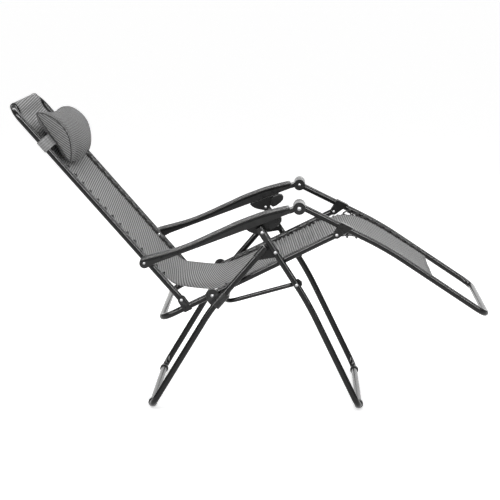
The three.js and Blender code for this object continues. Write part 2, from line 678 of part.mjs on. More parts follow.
// elastic band: from the pillow's end, round one rail, behind the sling, round the other rail
function headrestStrap() {
  // [y, n out of the front of the back]
  const rightHalf = [
    [-229, 34],
    [-236, 27],
    ...arc([-Y_RAIL, 0], STRAP_R, 62, 62, 1).slice(1),
    ...arc([-Y_RAIL, 0], STRAP_R, 90, 270, 6),
    [-200, -STRAP_R - 1],
  ];
  const leftHalf = rightHalf.map(([y, n]) => [-y, n]).reverse();
  const line = [...rightHalf, [0, -STRAP_R - 2], ...leftHalf];
  const geometry = new THREE.ExtrudeGeometry(shapeOf(band(line, STRAP_T)), {
    depth: STRAP_WIDTH,
    bevelEnabled: false,
  });
  // shape x to chair y, shape y out of the back, depth up the back
  const [x, z] = onBack([STRAP_BOTTOM, 0]);
  const placement = new THREE.Matrix4().makeBasis(
    vec3(0, 1, 0),
    vec3(BACK_NORMAL[0], 0, BACK_NORMAL[1]),
    vec3(BACK_DIR[0], 0, BACK_DIR[1]));
  placement.setPosition(x, 0, z);
  return geometry.applyMatrix4(placement);
}
put('headrest_pillow',
  plate(PILLOW.map(onBack), -SLING_HALF, SLING_HALF, { bevel: 9, bevelSteps: 3 }), fabric);
put('headrest_strap', headrestStrap(), elastic);

export default chair;
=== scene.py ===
# Reclining lounger: bent steel tubes, a mesh sling laced to the rails, armrests and a head pillow.
# It stands on z = 0 with its length along x: head at -x, feet at +x. y runs across, and the
# sitter's right side ("_r") is at -y. Dimensions are millimetres; make() turns them into metres.
import json
import math
from functools import cached_property

import bmesh
import bpy
import numpy as np
from mathutils import Matrix, Vector, noise
from mathutils.bvhtree import BVHTree

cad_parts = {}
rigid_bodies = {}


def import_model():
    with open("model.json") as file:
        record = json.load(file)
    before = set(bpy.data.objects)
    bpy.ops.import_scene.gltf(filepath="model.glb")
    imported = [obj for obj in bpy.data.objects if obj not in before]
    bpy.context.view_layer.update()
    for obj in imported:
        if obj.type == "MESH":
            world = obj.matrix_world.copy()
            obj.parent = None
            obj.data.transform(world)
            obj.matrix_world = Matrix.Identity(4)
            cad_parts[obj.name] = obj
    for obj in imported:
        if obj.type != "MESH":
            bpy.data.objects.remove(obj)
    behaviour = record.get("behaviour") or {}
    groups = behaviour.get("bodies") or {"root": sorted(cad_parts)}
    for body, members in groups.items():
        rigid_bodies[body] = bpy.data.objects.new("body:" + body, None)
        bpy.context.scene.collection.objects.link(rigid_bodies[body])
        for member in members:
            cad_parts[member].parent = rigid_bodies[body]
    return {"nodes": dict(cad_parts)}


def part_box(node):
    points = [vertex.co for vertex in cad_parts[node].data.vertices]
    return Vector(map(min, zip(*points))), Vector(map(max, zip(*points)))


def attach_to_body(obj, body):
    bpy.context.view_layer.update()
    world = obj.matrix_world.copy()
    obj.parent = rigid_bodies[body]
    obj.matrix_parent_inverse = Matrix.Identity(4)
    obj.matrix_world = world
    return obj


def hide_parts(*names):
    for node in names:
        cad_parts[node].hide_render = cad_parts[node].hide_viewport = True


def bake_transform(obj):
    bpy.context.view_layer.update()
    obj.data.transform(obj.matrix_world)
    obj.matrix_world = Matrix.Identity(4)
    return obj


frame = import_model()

for obj in list(bpy.data.objects):
    if obj.name in ("Cube", "Light", "Camera"):
        bpy.data.objects.remove(obj, do_unlink=True)
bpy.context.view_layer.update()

# ------------------------------------------------------------------ driving dimensions
MM = 0.001
SHIFT_X, SHIFT_Z = 15.02, 8.1     # from design x, z to the frame centred on x with its floor at 0
SIDES = (("r", -1), ("l", 1))     # name ending, sign of y

TUBE_R, BRACE_R = 11.0, 7.5
Y_RAIL, Y_LEG, Y_BRACE = 252.0, 279.0, 256.0     # tube axes from the middle
ARM_OUT, ARM_IN = 324.0, 269.0                   # outer and inner edge of an armrest grip

# Points on the tube axes, (x, z)
BACK_FOOT, BACK_HEAD = (-250, 378), (-818, 1030.4)
SEAT_REAR, SEAT_MID, SEAT_FRONT = (-320, 309.4), (-144, 397), (278, 607)
LEG_TOP, LEG_BEND, LEG_FOOT = (151, 706), (445, 561.4), (792, 330.8)
CLAMP, FRONT_BEND, FRONT_FOOT = (26, 619), (181.7, 377.4), (361, 6.5)
REAR_TOP, REAR_BEND, REAR_FOOT = (35.5, 565.5), (-149.3, 349), (-355.7, 6.5)
BRACE_FRONT, BRACE_REAR = (143, 438), (-97, 370.5)
LEG_BEND_R = 1200

# Top line of the armrest, rear to front, (x, z)
ARM_TOP = [
    (-386, 531), (-371, 536), (-333, 546), (-273, 563), (-227, 580), (-186, 598), (-146, 617),
    (-105, 636), (-65, 655), (-25, 671), (15, 686), (50, 696.5), (85, 705.5), (116, 712.5)]

# Sling line below the straight part of the back, head to feet, (x, z)
SLING_BACK = [(-309, 452), (-292, 436), (-276, 426), (-259, 420.8)]
SLING_SEAT = [
    (-240, 418.5), (-215, 415), (-190, 412.5), (-165, 410.5), (-140, 411), (-115, 416), (-85, 427),
    (-40, 446), (20, 474), (80, 503.5), (140, 533), (190, 557), (230, 575), (266, 589)]
SLING_LEG = [
    (286, 595), (310, 598), (335, 597.5), (360, 592), (390, 580.5), (420, 566), (450, 549.5),
    (490, 525.5), (540, 494), (580, 468), (616, 444.5)]
HALF_BACK, HALF_SEAT = 208.0, 226.0     # half widths of the sling


# ------------------------------------------------------------------ plane geometry
def minus(a, b):
    return (a[0] - b[0], a[1] - b[1])


def unit(a):
    length = math.hypot(*a)
    return (a[0] / length, a[1] / length)


def beyond(point, direction, distance):
    return (point[0] + direction[0] * distance, point[1] + direction[1] * distance)


def between(a, b, share):
    return (a[0] + (b[0] - a[0]) * share, a[1] + (b[1] - a[1]) * share)


def tangent(line, i):
    return unit(minus(line[min(len(line) - 1, i + 1)], line[max(0, i - 1)]))


def left_of(direction):
    return (-direction[1], direction[0])


def smoothstep(t):
    t = min(1.0, max(0.0, t))
    return t * t * (3 - 2 * t)


def smooth_path(points, steps):
    """Catmull-Rom through the listed points."""
    path = []
    last = len(points) - 1
    for i in range(last):
        p0, p1, p2, p3 = (points[min(max(k, 0), last)] for k in range(i - 1, i + 3))
        for k in range(steps):
            t = k / steps
            path.append(0.5 * ((2 * p1) + (p2 - p0) * t + (2 * p0 - 5 * p1 + 4 * p2 - p3) * t * t
                               + (3 * p1 - p0 - 3 * p2 + p3) * t ** 3))
    path.append(points[-1].copy())
    return path


def smooth_line(points, steps):
    return [(p.x, p.z) for p in smooth_path([Vector((a, 0, b)) for a, b in points], steps)]


def running_lengths(line):
    lengths = [0.0]
    for a, b in zip(line, line[1:]):
        lengths.append(lengths[-1] + math.hypot(b[0] - a[0], b[1] - a[1]))
    return lengths


def resample(line, step_at):
    """[(point, arc length)] along a line, at spacing step_at(x, z)."""
    lengths = running_lengths(line)
    total = lengths[-1]
    arc = 0.0
    samples = []
    i = 0
    while arc < total - 1e-6:
        while i < len(lengths) - 2 and lengths[i + 1] < arc:
            i += 1
        share = (arc - lengths[i]) / max(lengths[i + 1] - lengths[i], 1e-9)
        point = between(line[i], line[i + 1], share)
        samples.append((point, arc))
        arc += step_at(*point)
    if total - samples[-1][1] < 0.8:
        samples.pop()
    samples.append((line[-1], total))
    return samples


def nearest_on(line, point):
    """(distance, segment, share of the segment, nearest point) on a line."""
    best = (math.inf,)
    for i, (a, b) in enumerate(zip(line, line[1:])):
        d = minus(b, a)
        share = ((point[0] - a[0]) * d[0] + (point[1] - a[1]) * d[1]) / (d[0] ** 2 + d[1] ** 2)
        share = min(1, max(0, share))
        foot = between(a, b, share)
        distance = math.hypot(*minus(foot, point))
        if distance < best[0]:
            best = (distance, i, share, foot)
    return best


# The back frame has its own axes: up along the rail from BACK_FOOT, and out towards the sitter.
BACK_UP = unit(minus(BACK_HEAD, BACK_FOOT))
BACK_OUT = (BACK_UP[1], -BACK_UP[0])
BACK_L = math.hypot(*minus(BACK_HEAD, BACK_FOOT))


def on_back(up, out):
    return (BACK_FOOT[0] + BACK_UP[0] * up + BACK_OUT[0] * out,
            BACK_FOOT[1] + BACK_UP[1] * up + BACK_OUT[1] * out)


def on_back_3d(up, out, y):
    x, z = on_back(up, out)
    return Vector((x, y, z))


# ------------------------------------------------------------------ meshes
def make(name, verts, faces, material, crease):
    """Object from millimetre vertices; edges sharper than crease degrees stay crisp."""
    mesh = bpy.data.meshes.new(name)
    metres = [((v[0] + SHIFT_X) * MM, v[1] * MM, (v[2] + SHIFT_Z) * MM) for v in verts]
    mesh.from_pydata(metres, [], faces)
    mesh.update()
    bm = bmesh.new()
    bm.from_mesh(mesh)
    bmesh.ops.recalc_face_normals(bm, faces=bm.faces[:])
    bm.to_mesh(mesh)
    bm.free()
    for polygon in mesh.polygons:
        polygon.use_smooth = True
    mesh.set_sharp_from_angle(angle=math.radians(crease))
    obj = bpy.data.objects.new(name, mesh)
    bpy.context.scene.collection.objects.link(obj)
    mesh.materials.append(material)
    return obj


def attach(obj, body, replaced=None):
    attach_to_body(obj, body)
    if replaced:
        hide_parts(replaced)


def set_weave(obj, values):
    """weave: metres along the piece, metres across it, and 1 on hems."""
    attribute = obj.data.attributes.new("weave", "FLOAT_VECTOR", "POINT")
    attribute.data.foreach_set("vector", np.array(values, np.float32).ravel())


def loft_faces(count, sides, closed=False):
    """Quads between count rings of vertices; an open loft is capped at both ends."""
    faces = []
    for i in range(count if closed else count - 1):
        j = (i + 1) % count
        for k in range(sides):
            m = (k + 1) % sides
            faces.append((i * sides + k, i * sides + m, j * sides + m, j * sides + k))
    if not closed:
        faces.append(tuple(range(sides)))
        faces.append(tuple((count - 1) * sides + k for k in range(sides))[::-1])
    return faces


def turned(centre, profile, sides):
    """Vertices of a profile [(radius, y)] turned about the y axis through centre (x, z)."""
    verts = []
    for radius, y in profile:
        for k in range(sides):
            a = 2 * math.pi * k / sides
            verts.append(Vector((centre[0] + radius * math.cos(a), y,
                                 centre[1] + radius * math.sin(a))))
    return verts


def merge_parts(parts):
    verts, faces = [], []
    for part_verts, part_faces in parts:
        base = len(verts)
        verts += part_verts
        faces += [tuple(i + base for i in face) for face in part_faces]
    return verts, faces


def rounded(corners):
    """Path through [(Vector, radius)], with an arc at every inner corner."""
    path = [corners[0][0].copy()]
    for i in range(1, len(corners) - 1):
        corner, radius = corners[i]
        to_last = (corners[i - 1][0] - corner).normalized()
        to_next = (corners[i + 1][0] - corner).normalized()
        turn = math.pi - to_last.angle(to_next)
        reach = radius * math.tan(turn / 2)
        bisector = (to_last + to_next).normalized()
        centre = corner + bisector * (radius / math.cos(turn / 2))
        arm = corner + to_last * reach - centre
        axis = arm.cross(corner + to_next * reach - centre).normalized()
        steps = max(6, int(round(turn / 0.11)))
        for k in range(steps + 1):
            path.append(Matrix.Rotation(turn * k / steps, 3, axis) @ arm + centre)
    path.append(corners[-1][0].copy())
    return path


def densify(points, step):
    path = [points[0]]
    for a, b in zip(points, points[1:]):
        count = max(1, int((b - a).length / step))
        path += [a.lerp(b, k / count) for k in range(1, count + 1)]
    return path


def sweep(points, radii, sides, closed):
    """Vertices of circles carried along the points without twisting."""
    count = len(points)
    tangents = []
    for i in range(count):
        before = after = Vector()
        if i > 0 or closed:
            before = (points[i] - points[i - 1]).normalized()
        if i < count - 1 or closed:
            after = (points[(i + 1) % count] - points[i]).normalized()
        tangents.append((before + after).normalized())
    first = tangents[0]
    guide = Vector((0, 0, 1)) if abs(first.z) < 0.9 else Vector((1, 0, 0))
    across = (guide - first * guide.dot(first)).normalized()
    verts = []
    for i, along in enumerate(tangents):
        if i > 0:
            axis = tangents[i - 1].cross(along)
            if axis.length > 1e-9:
                turn = Matrix.Rotation(tangents[i - 1].angle(along), 3, axis.normalized())
                across = turn @ across
            across = (across - along * across.dot(along)).normalized()
        other = along.cross(across)
        for k in range(sides):
            a = 2 * math.pi * k / sides
            verts.append(points[i] + across * (radii[i] * math.cos(a))
                         + other * (radii[i] * math.sin(a)))
    return verts


def tube(points, radius, sides, chamfer=0.0, closed=False):
    """(verts, faces) of a round bar; an open one has softened ends."""
    def softened(end, inner):
        inward = (inner - end).normalized()
        return [end, end + inward * chamfer * 0.3, end + inward * chamfer]

    radii = [radius] * len(points)
    if not closed:
        ease = [radius - chamfer, radius - chamfer * 0.3, radius]
        radii = ease + radii[1:-1] + ease[::-1]
        points = (softened(points[0], points[1]) + points[1:-1]
                  + softened(points[-1], points[-2])[::-1])
    return sweep(points, radii, sides, closed), loft_faces(len(points), sides, closed)


# ------------------------------------------------------------------ materials
class Mat:
    """A Principled material with short ways to add nodes."""

    def __init__(self, name):
        self.mat = bpy.data.materials.new(name)
        self.mat.use_nodes = True
        self.tree = self.mat.node_tree
        self.bsdf = self.tree.nodes["Principled BSDF"]

    def put(self, socket, value):
        if isinstance(value, bpy.types.NodeSocket):
            self.tree.links.new(value, socket)
        else:
            socket.default_value = value

    def set(self, inputs):
        for key, value in inputs.items():
            self.put(self.bsdf.inputs[key], value)

    def node(self, kind, inputs=None, **props):
        node = self.tree.nodes.new(kind)
        for key, value in props.items():
            setattr(node, key, value)
        for key, value in (inputs or {}).items():
            self.put(node.inputs[key], value)
        return node

    @cached_property
    def coords(self):
        return self.node("ShaderNodeTexCoord").outputs["Object"]

    def math(self, operation, *values):
        node = self.node("ShaderNodeMath", dict(enumerate(values)), operation=operation)
        return node.outputs[0]

    def add(self, a, b):
        return self.math("ADD", a, b)

    def times(self, a, b):
        return self.math("MULTIPLY", a, b)

    def mix(self, share, a, b):
        return self.node("ShaderNodeMix", {0: share, 6: a, 7: b}, data_type="RGBA").outputs[2]

    def noise(self, scale, detail=3.0, roughness=0.5):
        return self.node("ShaderNodeTexNoise", {
            "Scale": scale, "Detail": detail, "Roughness": roughness,
            "Vector": self.coords}).outputs["Fac"]

    def ramp(self, value, lo, hi, start=0.0, end=1.0):
        inputs = dict(enumerate((value, lo, hi, start, end)))
        return self.node("ShaderNodeMapRange", inputs, clamp=True).outputs[0]

    def bump(self, height, strength, distance):
        node = self.node("ShaderNodeBump", {
            "Strength": strength, "Distance": distance, "Height": height})
        self.set({"Normal": node.outputs["Normal"]})

    def worn(self, colour, edge, scale, patches, grey):
        """Lighter patches on convex edges; edge and patches are (lo, hi) of their ramps."""
        geometry = self.node("ShaderNodeNewGeometry")
        edges = self.ramp(geometry.outputs["Pointiness"], *edge)
        amount = self.times(edges, self.ramp(self.noise(scale), *patches, end=0.4))
        return self.mix(amount, colour, rgb(grey))

    def dust_and_top_light(self, colour, scale, roughness, patches, most, grey):
        """Faint dust and painted top light: lighter patches on surfaces that face up; patches is
        (lo, hi) of its ramp.
        """
        geometry = self.node("ShaderNodeNewGeometry")
        normal = self.node("ShaderNodeSeparateXYZ", {0: geometry.outputs["Normal"]})
        upward = self.ramp(normal.outputs["Z"], lo=0.2, hi=1.0)
        spots = self.ramp(self.noise(scale, detail=5.0, roughness=roughness), *patches, end=most)
        return self.mix(self.times(upward, spots), colour, rgb(grey, (1.0, 0.98, 0.95)))

    def weave(self):
        """Sockets of the weave attribute: along, across, hem."""
        attribute = self.node("ShaderNodeAttribute", attribute_name="weave",
                              attribute_type="GEOMETRY")
        return self.node("ShaderNodeSeparateXYZ", {0: attribute.outputs["Vector"]}).outputs

    def hump(self, yarns):
        """A rounded bulge over each yarn."""
        return self.math("ABSOLUTE", self.math("SINE", self.times(yarns, math.pi)))

    def alternate(self, yarn):
        """1 on every second whole yarn number."""
        return self.math("LESS_THAN", self.math("FLOORED_MODULO", yarn, 2.0), 0.5)


def rgb(value, tint=(1, 1, 1)):
    return (value * tint[0], value * tint[1], value * tint[2], 1.0)


def powder_coat(name, base, rough):
    m = Mat(name)
    cloud = m.noise(scale=9.0, detail=4.0)
    peel = m.noise(scale=850.0, detail=2.0)
    fine = m.noise(scale=2600.0, detail=2.0)
    colour = m.mix(cloud, rgb(base * 0.82), rgb(base * 1.2, (1, 1, 1.02)))
    # dust and painted top light: up-facing surfaces are lighter in patches
    colour = m.dust_and_top_light(colour, scale=34.0, roughness=0.62, patches=(0.5, 0.76), most=0.07, grey=0.12)
    colour = m.worn(colour, edge=(0.56, 0.66), scale=60.0, patches=(0.5, 0.66), grey=0.1)
    gloss = m.add(m.times(cloud, 0.6), m.times(m.noise(scale=120.0), 0.4))
    m.set({
        "Base Color": colour, "Metallic": 0.0, "IOR": 1.33,
        "Roughness": m.ramp(gloss, lo=0.3, hi=0.7, start=rough - 0.04, end=rough + 0.07)})
    m.bump(m.add(peel, m.times(fine, 0.2)), strength=0.02, distance=0.0002)
    return m.mat


def plastic(name, base, rough, grain, depth):
    m = Mat(name)
    cloud = m.noise(scale=14.0, detail=4.0)
    colour = m.mix(cloud, rgb(base * 0.8), rgb(base * 1.25))
    colour = m.worn(colour, edge=(0.54, 0.64), scale=80.0, patches=(0.42, 0.62), grey=0.08)
    # dust and painted top light: up-facing surfaces are lighter in patches, stronger than on the
    # steel
    colour = m.dust_and_top_light(colour, scale=40.0, roughness=0.6, patches=(0.46, 0.74), most=0.1, grey=0.16)
    gloss = m.noise(scale=55.0, detail=4.0)
    m.set({
        "Base Color": colour, "IOR": 1.45, "Specular IOR Level": 0.32,
        "Roughness": m.ramp(gloss, lo=0.3, hi=0.7, start=rough - 0.05, end=rough + 0.1)})
    m.bump(m.noise(scale=grain, detail=2.0), strength=depth, distance=0.0003)
    return m.mat


def zinc(name):
    m = Mat(name)
    scratches = m.noise(scale=700.0)
    cloud = m.noise(scale=160.0)
    m.set({
        "Base Color": m.mix(cloud, rgb(0.2, (1, 1, 1.02)), rgb(0.34, (1, 1, 1.01))),
        "Metallic": 1.0,
        "Roughness": m.ramp(scratches, lo=0.3, hi=0.7, start=0.4, end=0.55)})
    m.bump(scratches, strength=0.12, distance=0.0002)
    return m.mat


def mesh_fabric(name, light, dark, pitch_along, pitch_across, sheen, skew):
    """Two-tone plain weave of coated yarns; pitches are in metres."""
    m = Mat(name)
    along, across, hem = m.weave()
    # yarns wander a little
    wobble = m.times(m.math("SUBTRACT", m.noise(scale=55.0, detail=2.0), 0.5), 0.0009)
    along = m.add(along, wobble)
    across = m.add(across, wobble)
    along = m.add(along, m.times(across, skew))     # the weft lies askew by this slope
    weft = m.math("DIVIDE", along, pitch_along)
    warp = m.math("DIVIDE", across, pitch_across)
    weft_no = m.math("FLOOR", weft)
    warp_no = m.math("FLOOR", warp)
    weft_on_top = m.math("FLOORED_MODULO", m.add(weft_no, warp_no), 2.0)
    weft_hump = m.hump(weft)
    warp_hump = m.hump(warp)

    # each yarn is round across itself and arched along itself
    def yarn_height(round_hump, arch_hump):
        return m.times(m.math("POWER", round_hump, 0.6), m.add(m.times(arch_hump, 0.5), 0.5))

    height = m.node("ShaderNodeMix", {
        0: weft_on_top, 2: yarn_height(warp_hump, weft_hump),
        3: yarn_height(weft_hump, warp_hump)}, data_type="FLOAT").outputs[0]
    # every second yarn is darker both ways, which gives a fine two-tone check
    warp_colour = m.mix(m.alternate(warp_no), rgb(light), rgb(dark))
    weft_colour = m.mix(m.alternate(weft_no), rgb(light), rgb(dark))
    colour = m.mix(weft_on_top, warp_colour, weft_colour)
    # faint broader ribs along the piece
    rib_pitch = 0.0225
    rib = m.times(m.math("SINE", m.times(across, 2 * math.pi / rib_pitch)), 0.5)
    colour = m.mix(m.ramp(rib, lo=-0.5, hi=0.5, end=0.16), colour, rgb(dark))
    cloud = m.noise(scale=6.0, detail=4.0)
    colour = m.mix(m.ramp(cloud, lo=0.3, hi=0.7, end=0.16), colour, rgb(0.2, (1.0, 0.99, 0.97)))
    fibre = m.noise(scale=2400.0, detail=2.0)
    colour = m.mix(m.ramp(fibre, lo=0.3, hi=0.7, end=0.22), colour, rgb(0.1))
    # the gaps between yarns are darker: painted shade in the recesses of the weave
    shaded = m.node("ShaderNodeHueSaturation", {
        "Value": m.ramp(height, lo=0.0, hi=0.55, start=0.45), "Color": colour}).outputs[0]
    # the hems are darker too
    hem_share = m.times(m.math("GREATER_THAN", hem, 0.35), 0.22)
    m.set({
        "Base Color": m.mix(hem_share, shaded, rgb(0.05)),
        "IOR": 1.46, "Specular IOR Level": 0.04,
        "Roughness": m.ramp(fibre, lo=0.2, hi=0.8, start=0.62, end=0.8),
        "Sheen Weight": sheen, "Sheen Roughness": 0.4})
    m.bump(m.add(height, m.times(fibre, 0.15)), strength=0.6, distance=0.0006)
    return m.mat


def webbing(name, base):
    """Ribbed band with alternating lengthwise stripes."""
    m = Mat(name)
    along, across, _ = m.weave()
    pitch_along, pitch_across = 0.0016, 0.0042
    ribs = m.math("DIVIDE", along, pitch_along)
    stripes = m.math("DIVIDE", across, pitch_across)
    colour = m.mix(m.alternate(m.math("FLOOR", stripes)), rgb(base * 0.72), rgb(base * 1.45))
    colour = m.mix(m.ramp(m.noise(scale=90.0), lo=0.3, hi=0.7, end=0.25), colour, rgb(base))
    m.set({"Base Color": colour, "Roughness": 0.75, "Sheen Weight": 0.3})
    height = m.times(m.add(m.hump(ribs), 0.4), m.add(m.hump(stripes), 0.3))
    m.bump(height, strength=0.55, distance=0.0004)
    return m.mat


def braid(name, base):
    m = Mat(name)
    cells = m.node("ShaderNodeTexVoronoi", {"Scale": 900.0, "Vector": m.coords})
    distance = cells.outputs["Distance"]
    m.set({
        "Base Color": m.mix(distance, rgb(base * 0.6), rgb(base * 2.2)),
        "Roughness": 0.8, "Specular IOR Level": 0.25, "Sheen Weight": 0.1})
    m.bump(distance, strength=0.5, distance=0.0004)
    return m.mat


STEEL = powder_coat("charcoal_powder_coat", base=0.006, rough=0.19)
BRACKET = powder_coat("bracket_coat", base=0.007, rough=0.27)
PLASTIC = plastic("charcoal_plastic", base=0.010, rough=0.3, grain=1500.0, depth=0.25)
GRIP = plastic("armrest_grip", base=0.014, rough=0.34, grain=1100.0, depth=0.3)
ZINC = zinc("zinc_rivet")
MESH = mesh_fabric("woven_mesh", light=0.52, dark=0.16, pitch_along=0.0040,
                   pitch_across=0.0040, sheen=0.05, skew=0.0)
PILLOW = mesh_fabric("pillow_mesh", light=0.34, dark=0.12, pitch_along=0.0035,
                     pitch_across=0.0037, sheen=0.05, skew=0.25)
PIPING = mesh_fabric("pillow_piping_mesh", light=0.07, dark=0.04, pitch_along=0.0024,
                     pitch_across=0.0024, sheen=0.03, skew=0.25)
STRAP = webbing("elastic_webbing", base=0.15)
CORD = braid("elastic_cord", base=0.009)
EYELET = plastic("eyelet_plastic", base=0.006, rough=0.6, grain=900.0, depth=0.1)


# ------------------------------------------------------------------ carried-over CAD nodes
def tidy_group():
    """Welds vertices, drops stored normals and marks edges over 33 degrees sharp."""
    group = bpy.data.node_groups.new("weld_and_round", "GeometryNodeTree")
    for in_out in ("INPUT", "OUTPUT"):
        group.interface.new_socket("Geometry", in_out=in_out, socket_type="NodeSocketGeometry")
    new = group.nodes.new
    link = group.links.new
    source = new("NodeGroupInput")
    result = new("NodeGroupOutput")
    remove = new("GeometryNodeRemoveAttribute")
    remove.inputs["Name"].default_value = "custom_normal"
    weld = new("GeometryNodeMergeByDistance")
    weld.inputs["Distance"].default_value = 0.00002
    smooth = new("GeometryNodeSetShadeSmooth")
    smooth.domain = "FACE"
    smooth.inputs["Shade Smooth"].default_value = True
    edge_angle = new("GeometryNodeInputMeshEdgeAngle")
    sharper = new("FunctionNodeCompare")
    sharper.data_type = "FLOAT"
    sharper.operation = "GREATER_THAN"
    sharper.inputs[1].default_value = math.radians(33)
    sharpen = new("GeometryNodeSetShadeSmooth")
    sharpen.domain = "EDGE"
    sharpen.inputs["Shade Smooth"].default_value = False
    link(source.outputs[0], remove.inputs["Geometry"])
    link(remove.outputs["Geometry"], weld.inputs["Geometry"])
    link(weld.outputs["Geometry"], smooth.inputs["Geometry"])
    link(smooth.outputs["Geometry"], sharpen.inputs["Geometry"])
    link(edge_angle.outputs["Unsigned Angle"], sharper.inputs[0])
    link(sharper.outputs["Result"], sharpen.inputs["Selection"])
    link(sharpen.outputs["Geometry"], result.inputs[0])
    return group


MOULDED = ("seat_hub_bracket", "front_leg_cap", "lock_lever", "legrest_knuckle",
           "armrest_rail", "front_foot_pad", "rear_foot_pad")
PRESSED = ("leg_pivot_plate", "brace_bracket", "clamp_bracket", "seat_back_bracket",
           "knee_bracket")
SOLID = dict.fromkeys(MOULDED, PLASTIC) | dict.fromkeys(PRESSED, BRACKET) | {"armrest_pad": GRIP}


def cad_material(stem):
    if stem in SOLID:
        return SOLID[stem]
    if "rivet" in stem:
        return ZINC
    if stem.endswith("_tube"):
        return STEEL
    if stem == "headrest_strap":
        return STRAP
    return CORD if stem.startswith("cord") else MESH


def finish_cad_nodes():
    tidy = tidy_group()
    for name, obj in frame["nodes"].items():
        stem = name[:-2] if name[-2:] in ("_r", "_l") else name
        material = cad_material(stem)
        for slot in obj.material_slots:
            slot.material = material
        if stem in SOLID:
            obj.modifiers.new("tidy", "NODES").node_group = tidy
            bevel = obj.modifiers.new("soft_edges", "BEVEL")
            bevel.limit_method = "ANGLE"
            bevel.angle_limit = math.radians(34)
            bevel.width = 0.0007 if stem in PRESSED else 0.0011
            bevel.segments = 2
            bevel.harden_normals = False
            bevel.use_clamp_overlap = True


# ------------------------------------------------------------------ steel tubes
LEG_DIR = unit(minus(LEG_BEND, LEG_TOP))
LEG_RAIL = [beyond(LEG_TOP, LEG_DIR, 14), LEG_BEND, LEG_FOOT]
SEAT_DIR = unit(minus(SEAT_FRONT, SEAT_MID))
FRONT_DIR = unit(minus(CLAMP, FRONT_BEND))
BRACE_DIR = unit(minus(BRACE_REAR, BRACE_FRONT))
# name, body, one side's axis, y of that axis, corner radius, bend radius, tube radius
TUBES = (
    ("back_frame", "back", [beyond(BACK_FOOT, BACK_UP, -11), BACK_HEAD],
     Y_RAIL, 52, 0, TUBE_R),
    ("seat_frame", "seat", [beyond(SEAT_FRONT, SEAT_DIR, 10), SEAT_REAR],
     Y_RAIL, 50, 0, TUBE_R),
    ("leg_rest", "leg_rest", LEG_RAIL,
     Y_RAIL, 46, LEG_BEND_R, TUBE_R),
    ("front_leg", "front_legs", [beyond(CLAMP, FRONT_DIR, 17), FRONT_BEND, FRONT_FOOT],
     Y_LEG, 44, 1150, TUBE_R),
    ("rear_leg", "base", [REAR_TOP, REAR_BEND, REAR_FOOT],
     Y_LEG, 44, 500, TUBE_R),
    ("brace", "brace", [beyond(BRACE_FRONT, BRACE_DIR, -8), BRACE_REAR],
     Y_BRACE, 42, 0, BRACE_R),
)


def u_frame(rail, y_axis, corner_radius, bend_radius):
    """Path down one side, across at the rail's last point and back up the other side."""
    last = len(rail) - 1

    def side(y):
        return [(Vector((x, y, z)), corner_radius if i == last else bend_radius)
                for i, (x, z) in enumerate(rail)]

    return rounded(side(-y_axis) + side(y_axis)[::-1])


def build_tubes():
    for name, body, rail, y_axis, corner_radius, bend_radius, radius in TUBES:
        path = densify(u_frame(rail, y_axis, corner_radius, bend_radius), step=60)
        verts, faces = tube(path, radius, sides=24 if radius == BRACE_R else 32, chamfer=1.2)
        obj = make(name + "_steel", verts, faces, STEEL, crease=50)
        attach(obj, body, name + "_tube")


# ------------------------------------------------------------------ rivets
RIVET_BODY = {
    "seat_hub": "base", "leg_pivot": "front_legs", "brace": "front_legs", "clamp": "front_legs",
    "arm_front": "leg_rest", "arm_rear": "armrest", "back_pivot": "seat", "knee": "leg_rest"}
RIVET_SIDES = 28
SHANK_R = 3.0
# Outer dome: (share of the head radius, depth below its top)
DOME = ((0.28, 0.12), (0.5, 0.45), (0.7, 0.95), (0.86, 1.55))
# Formed head on the clamp plate's inner face: (radius, height)
FORMED_HEAD = ((0.001, 2.3), (2.2, 2.15), (4.2, 1.6), (5.4, 0.8), (5.7, 0.25), (5.5, 0),
               (0.001, 0))
CLAMP_FACE_Y = 260.35


def make_pin(name, centre, profile):
    return make(name, turned(centre, profile, RIVET_SIDES),
                loft_faces(len(profile), RIVET_SIDES), ZINC, crease=44)


def build_rivets():
    """Domed outer head, shank and formed inner head, sized by the CAD rivet's box."""
    for stem, body in RIVET_BODY.items():
        tail_r, tail_h = (4.6, 0.9) if stem == "clamp" else (5.0, 1.8)
        for side, sign in SIDES:
            node = f"{stem}_rivet_{side}"
            low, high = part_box(node)
            centre = ((low.x + high.x) * 500 - SHIFT_X, (low.z + high.z) * 500 - SHIFT_Z)
            head_r = (high.x - low.x) * 500
            head_h = 3.0 if head_r > 7 else 2.6
            outer, inner = (low.y, high.y) if sign < 0 else (high.y, low.y)
            outer *= 1000
            inner *= 1000
            inward = -sign
            rim = outer + inward * head_h
            tail = inner - inward * tail_h
            profile = [(0.001, outer)]
            profile += [(head_r * share, outer + inward * depth) for share, depth in DOME]
            profile += [
                (head_r * 0.96, outer + inward * (head_h - 0.5)),
                (head_r, outer + inward * (head_h - 0.15)),
                (head_r * 0.99, rim), (SHANK_R, rim),
                (SHANK_R, tail), (tail_r, tail), (tail_r * 0.97, inner - inward * tail_h * 0.6),
                (tail_r * 0.7, inner - inward * 0.15), (0.001, inner)]
            obj = make_pin(f"{stem}_pin_{side}", centre, profile)
            attach(obj, f"armrest_{side}" if body == "armrest" else body, node)

    for side, sign in SIDES:
        profile = [(radius, sign * (CLAMP_FACE_Y - height)) for radius, height in FORMED_HEAD]
        attach(make_pin(f"clamp_pin_head_{side}", CLAMP, profile), f"clamp_{side}")


# ------------------------------------------------------------------ foot collars
COLLAR_SIDES = 44
COLLAR_Y = Y_LEG - 61.0     # inner end of a collar
# Grooved ring section: (radius, distance from the collar's inner end)
COLLAR = (
    (11.35, 0.0), (14.0, 0.0), (14.9, 0.35), (15.2, 1.2), (15.2, 3.0), (14.5, 3.5), (14.5, 5.2),
    (15.2, 5.7), (15.2, 10.3), (14.5, 10.8), (14.5, 12.5), (15.2, 13.0), (15.2, 14.8),
    (14.9, 15.65), (14.0, 16.0), (11.35, 16.0))


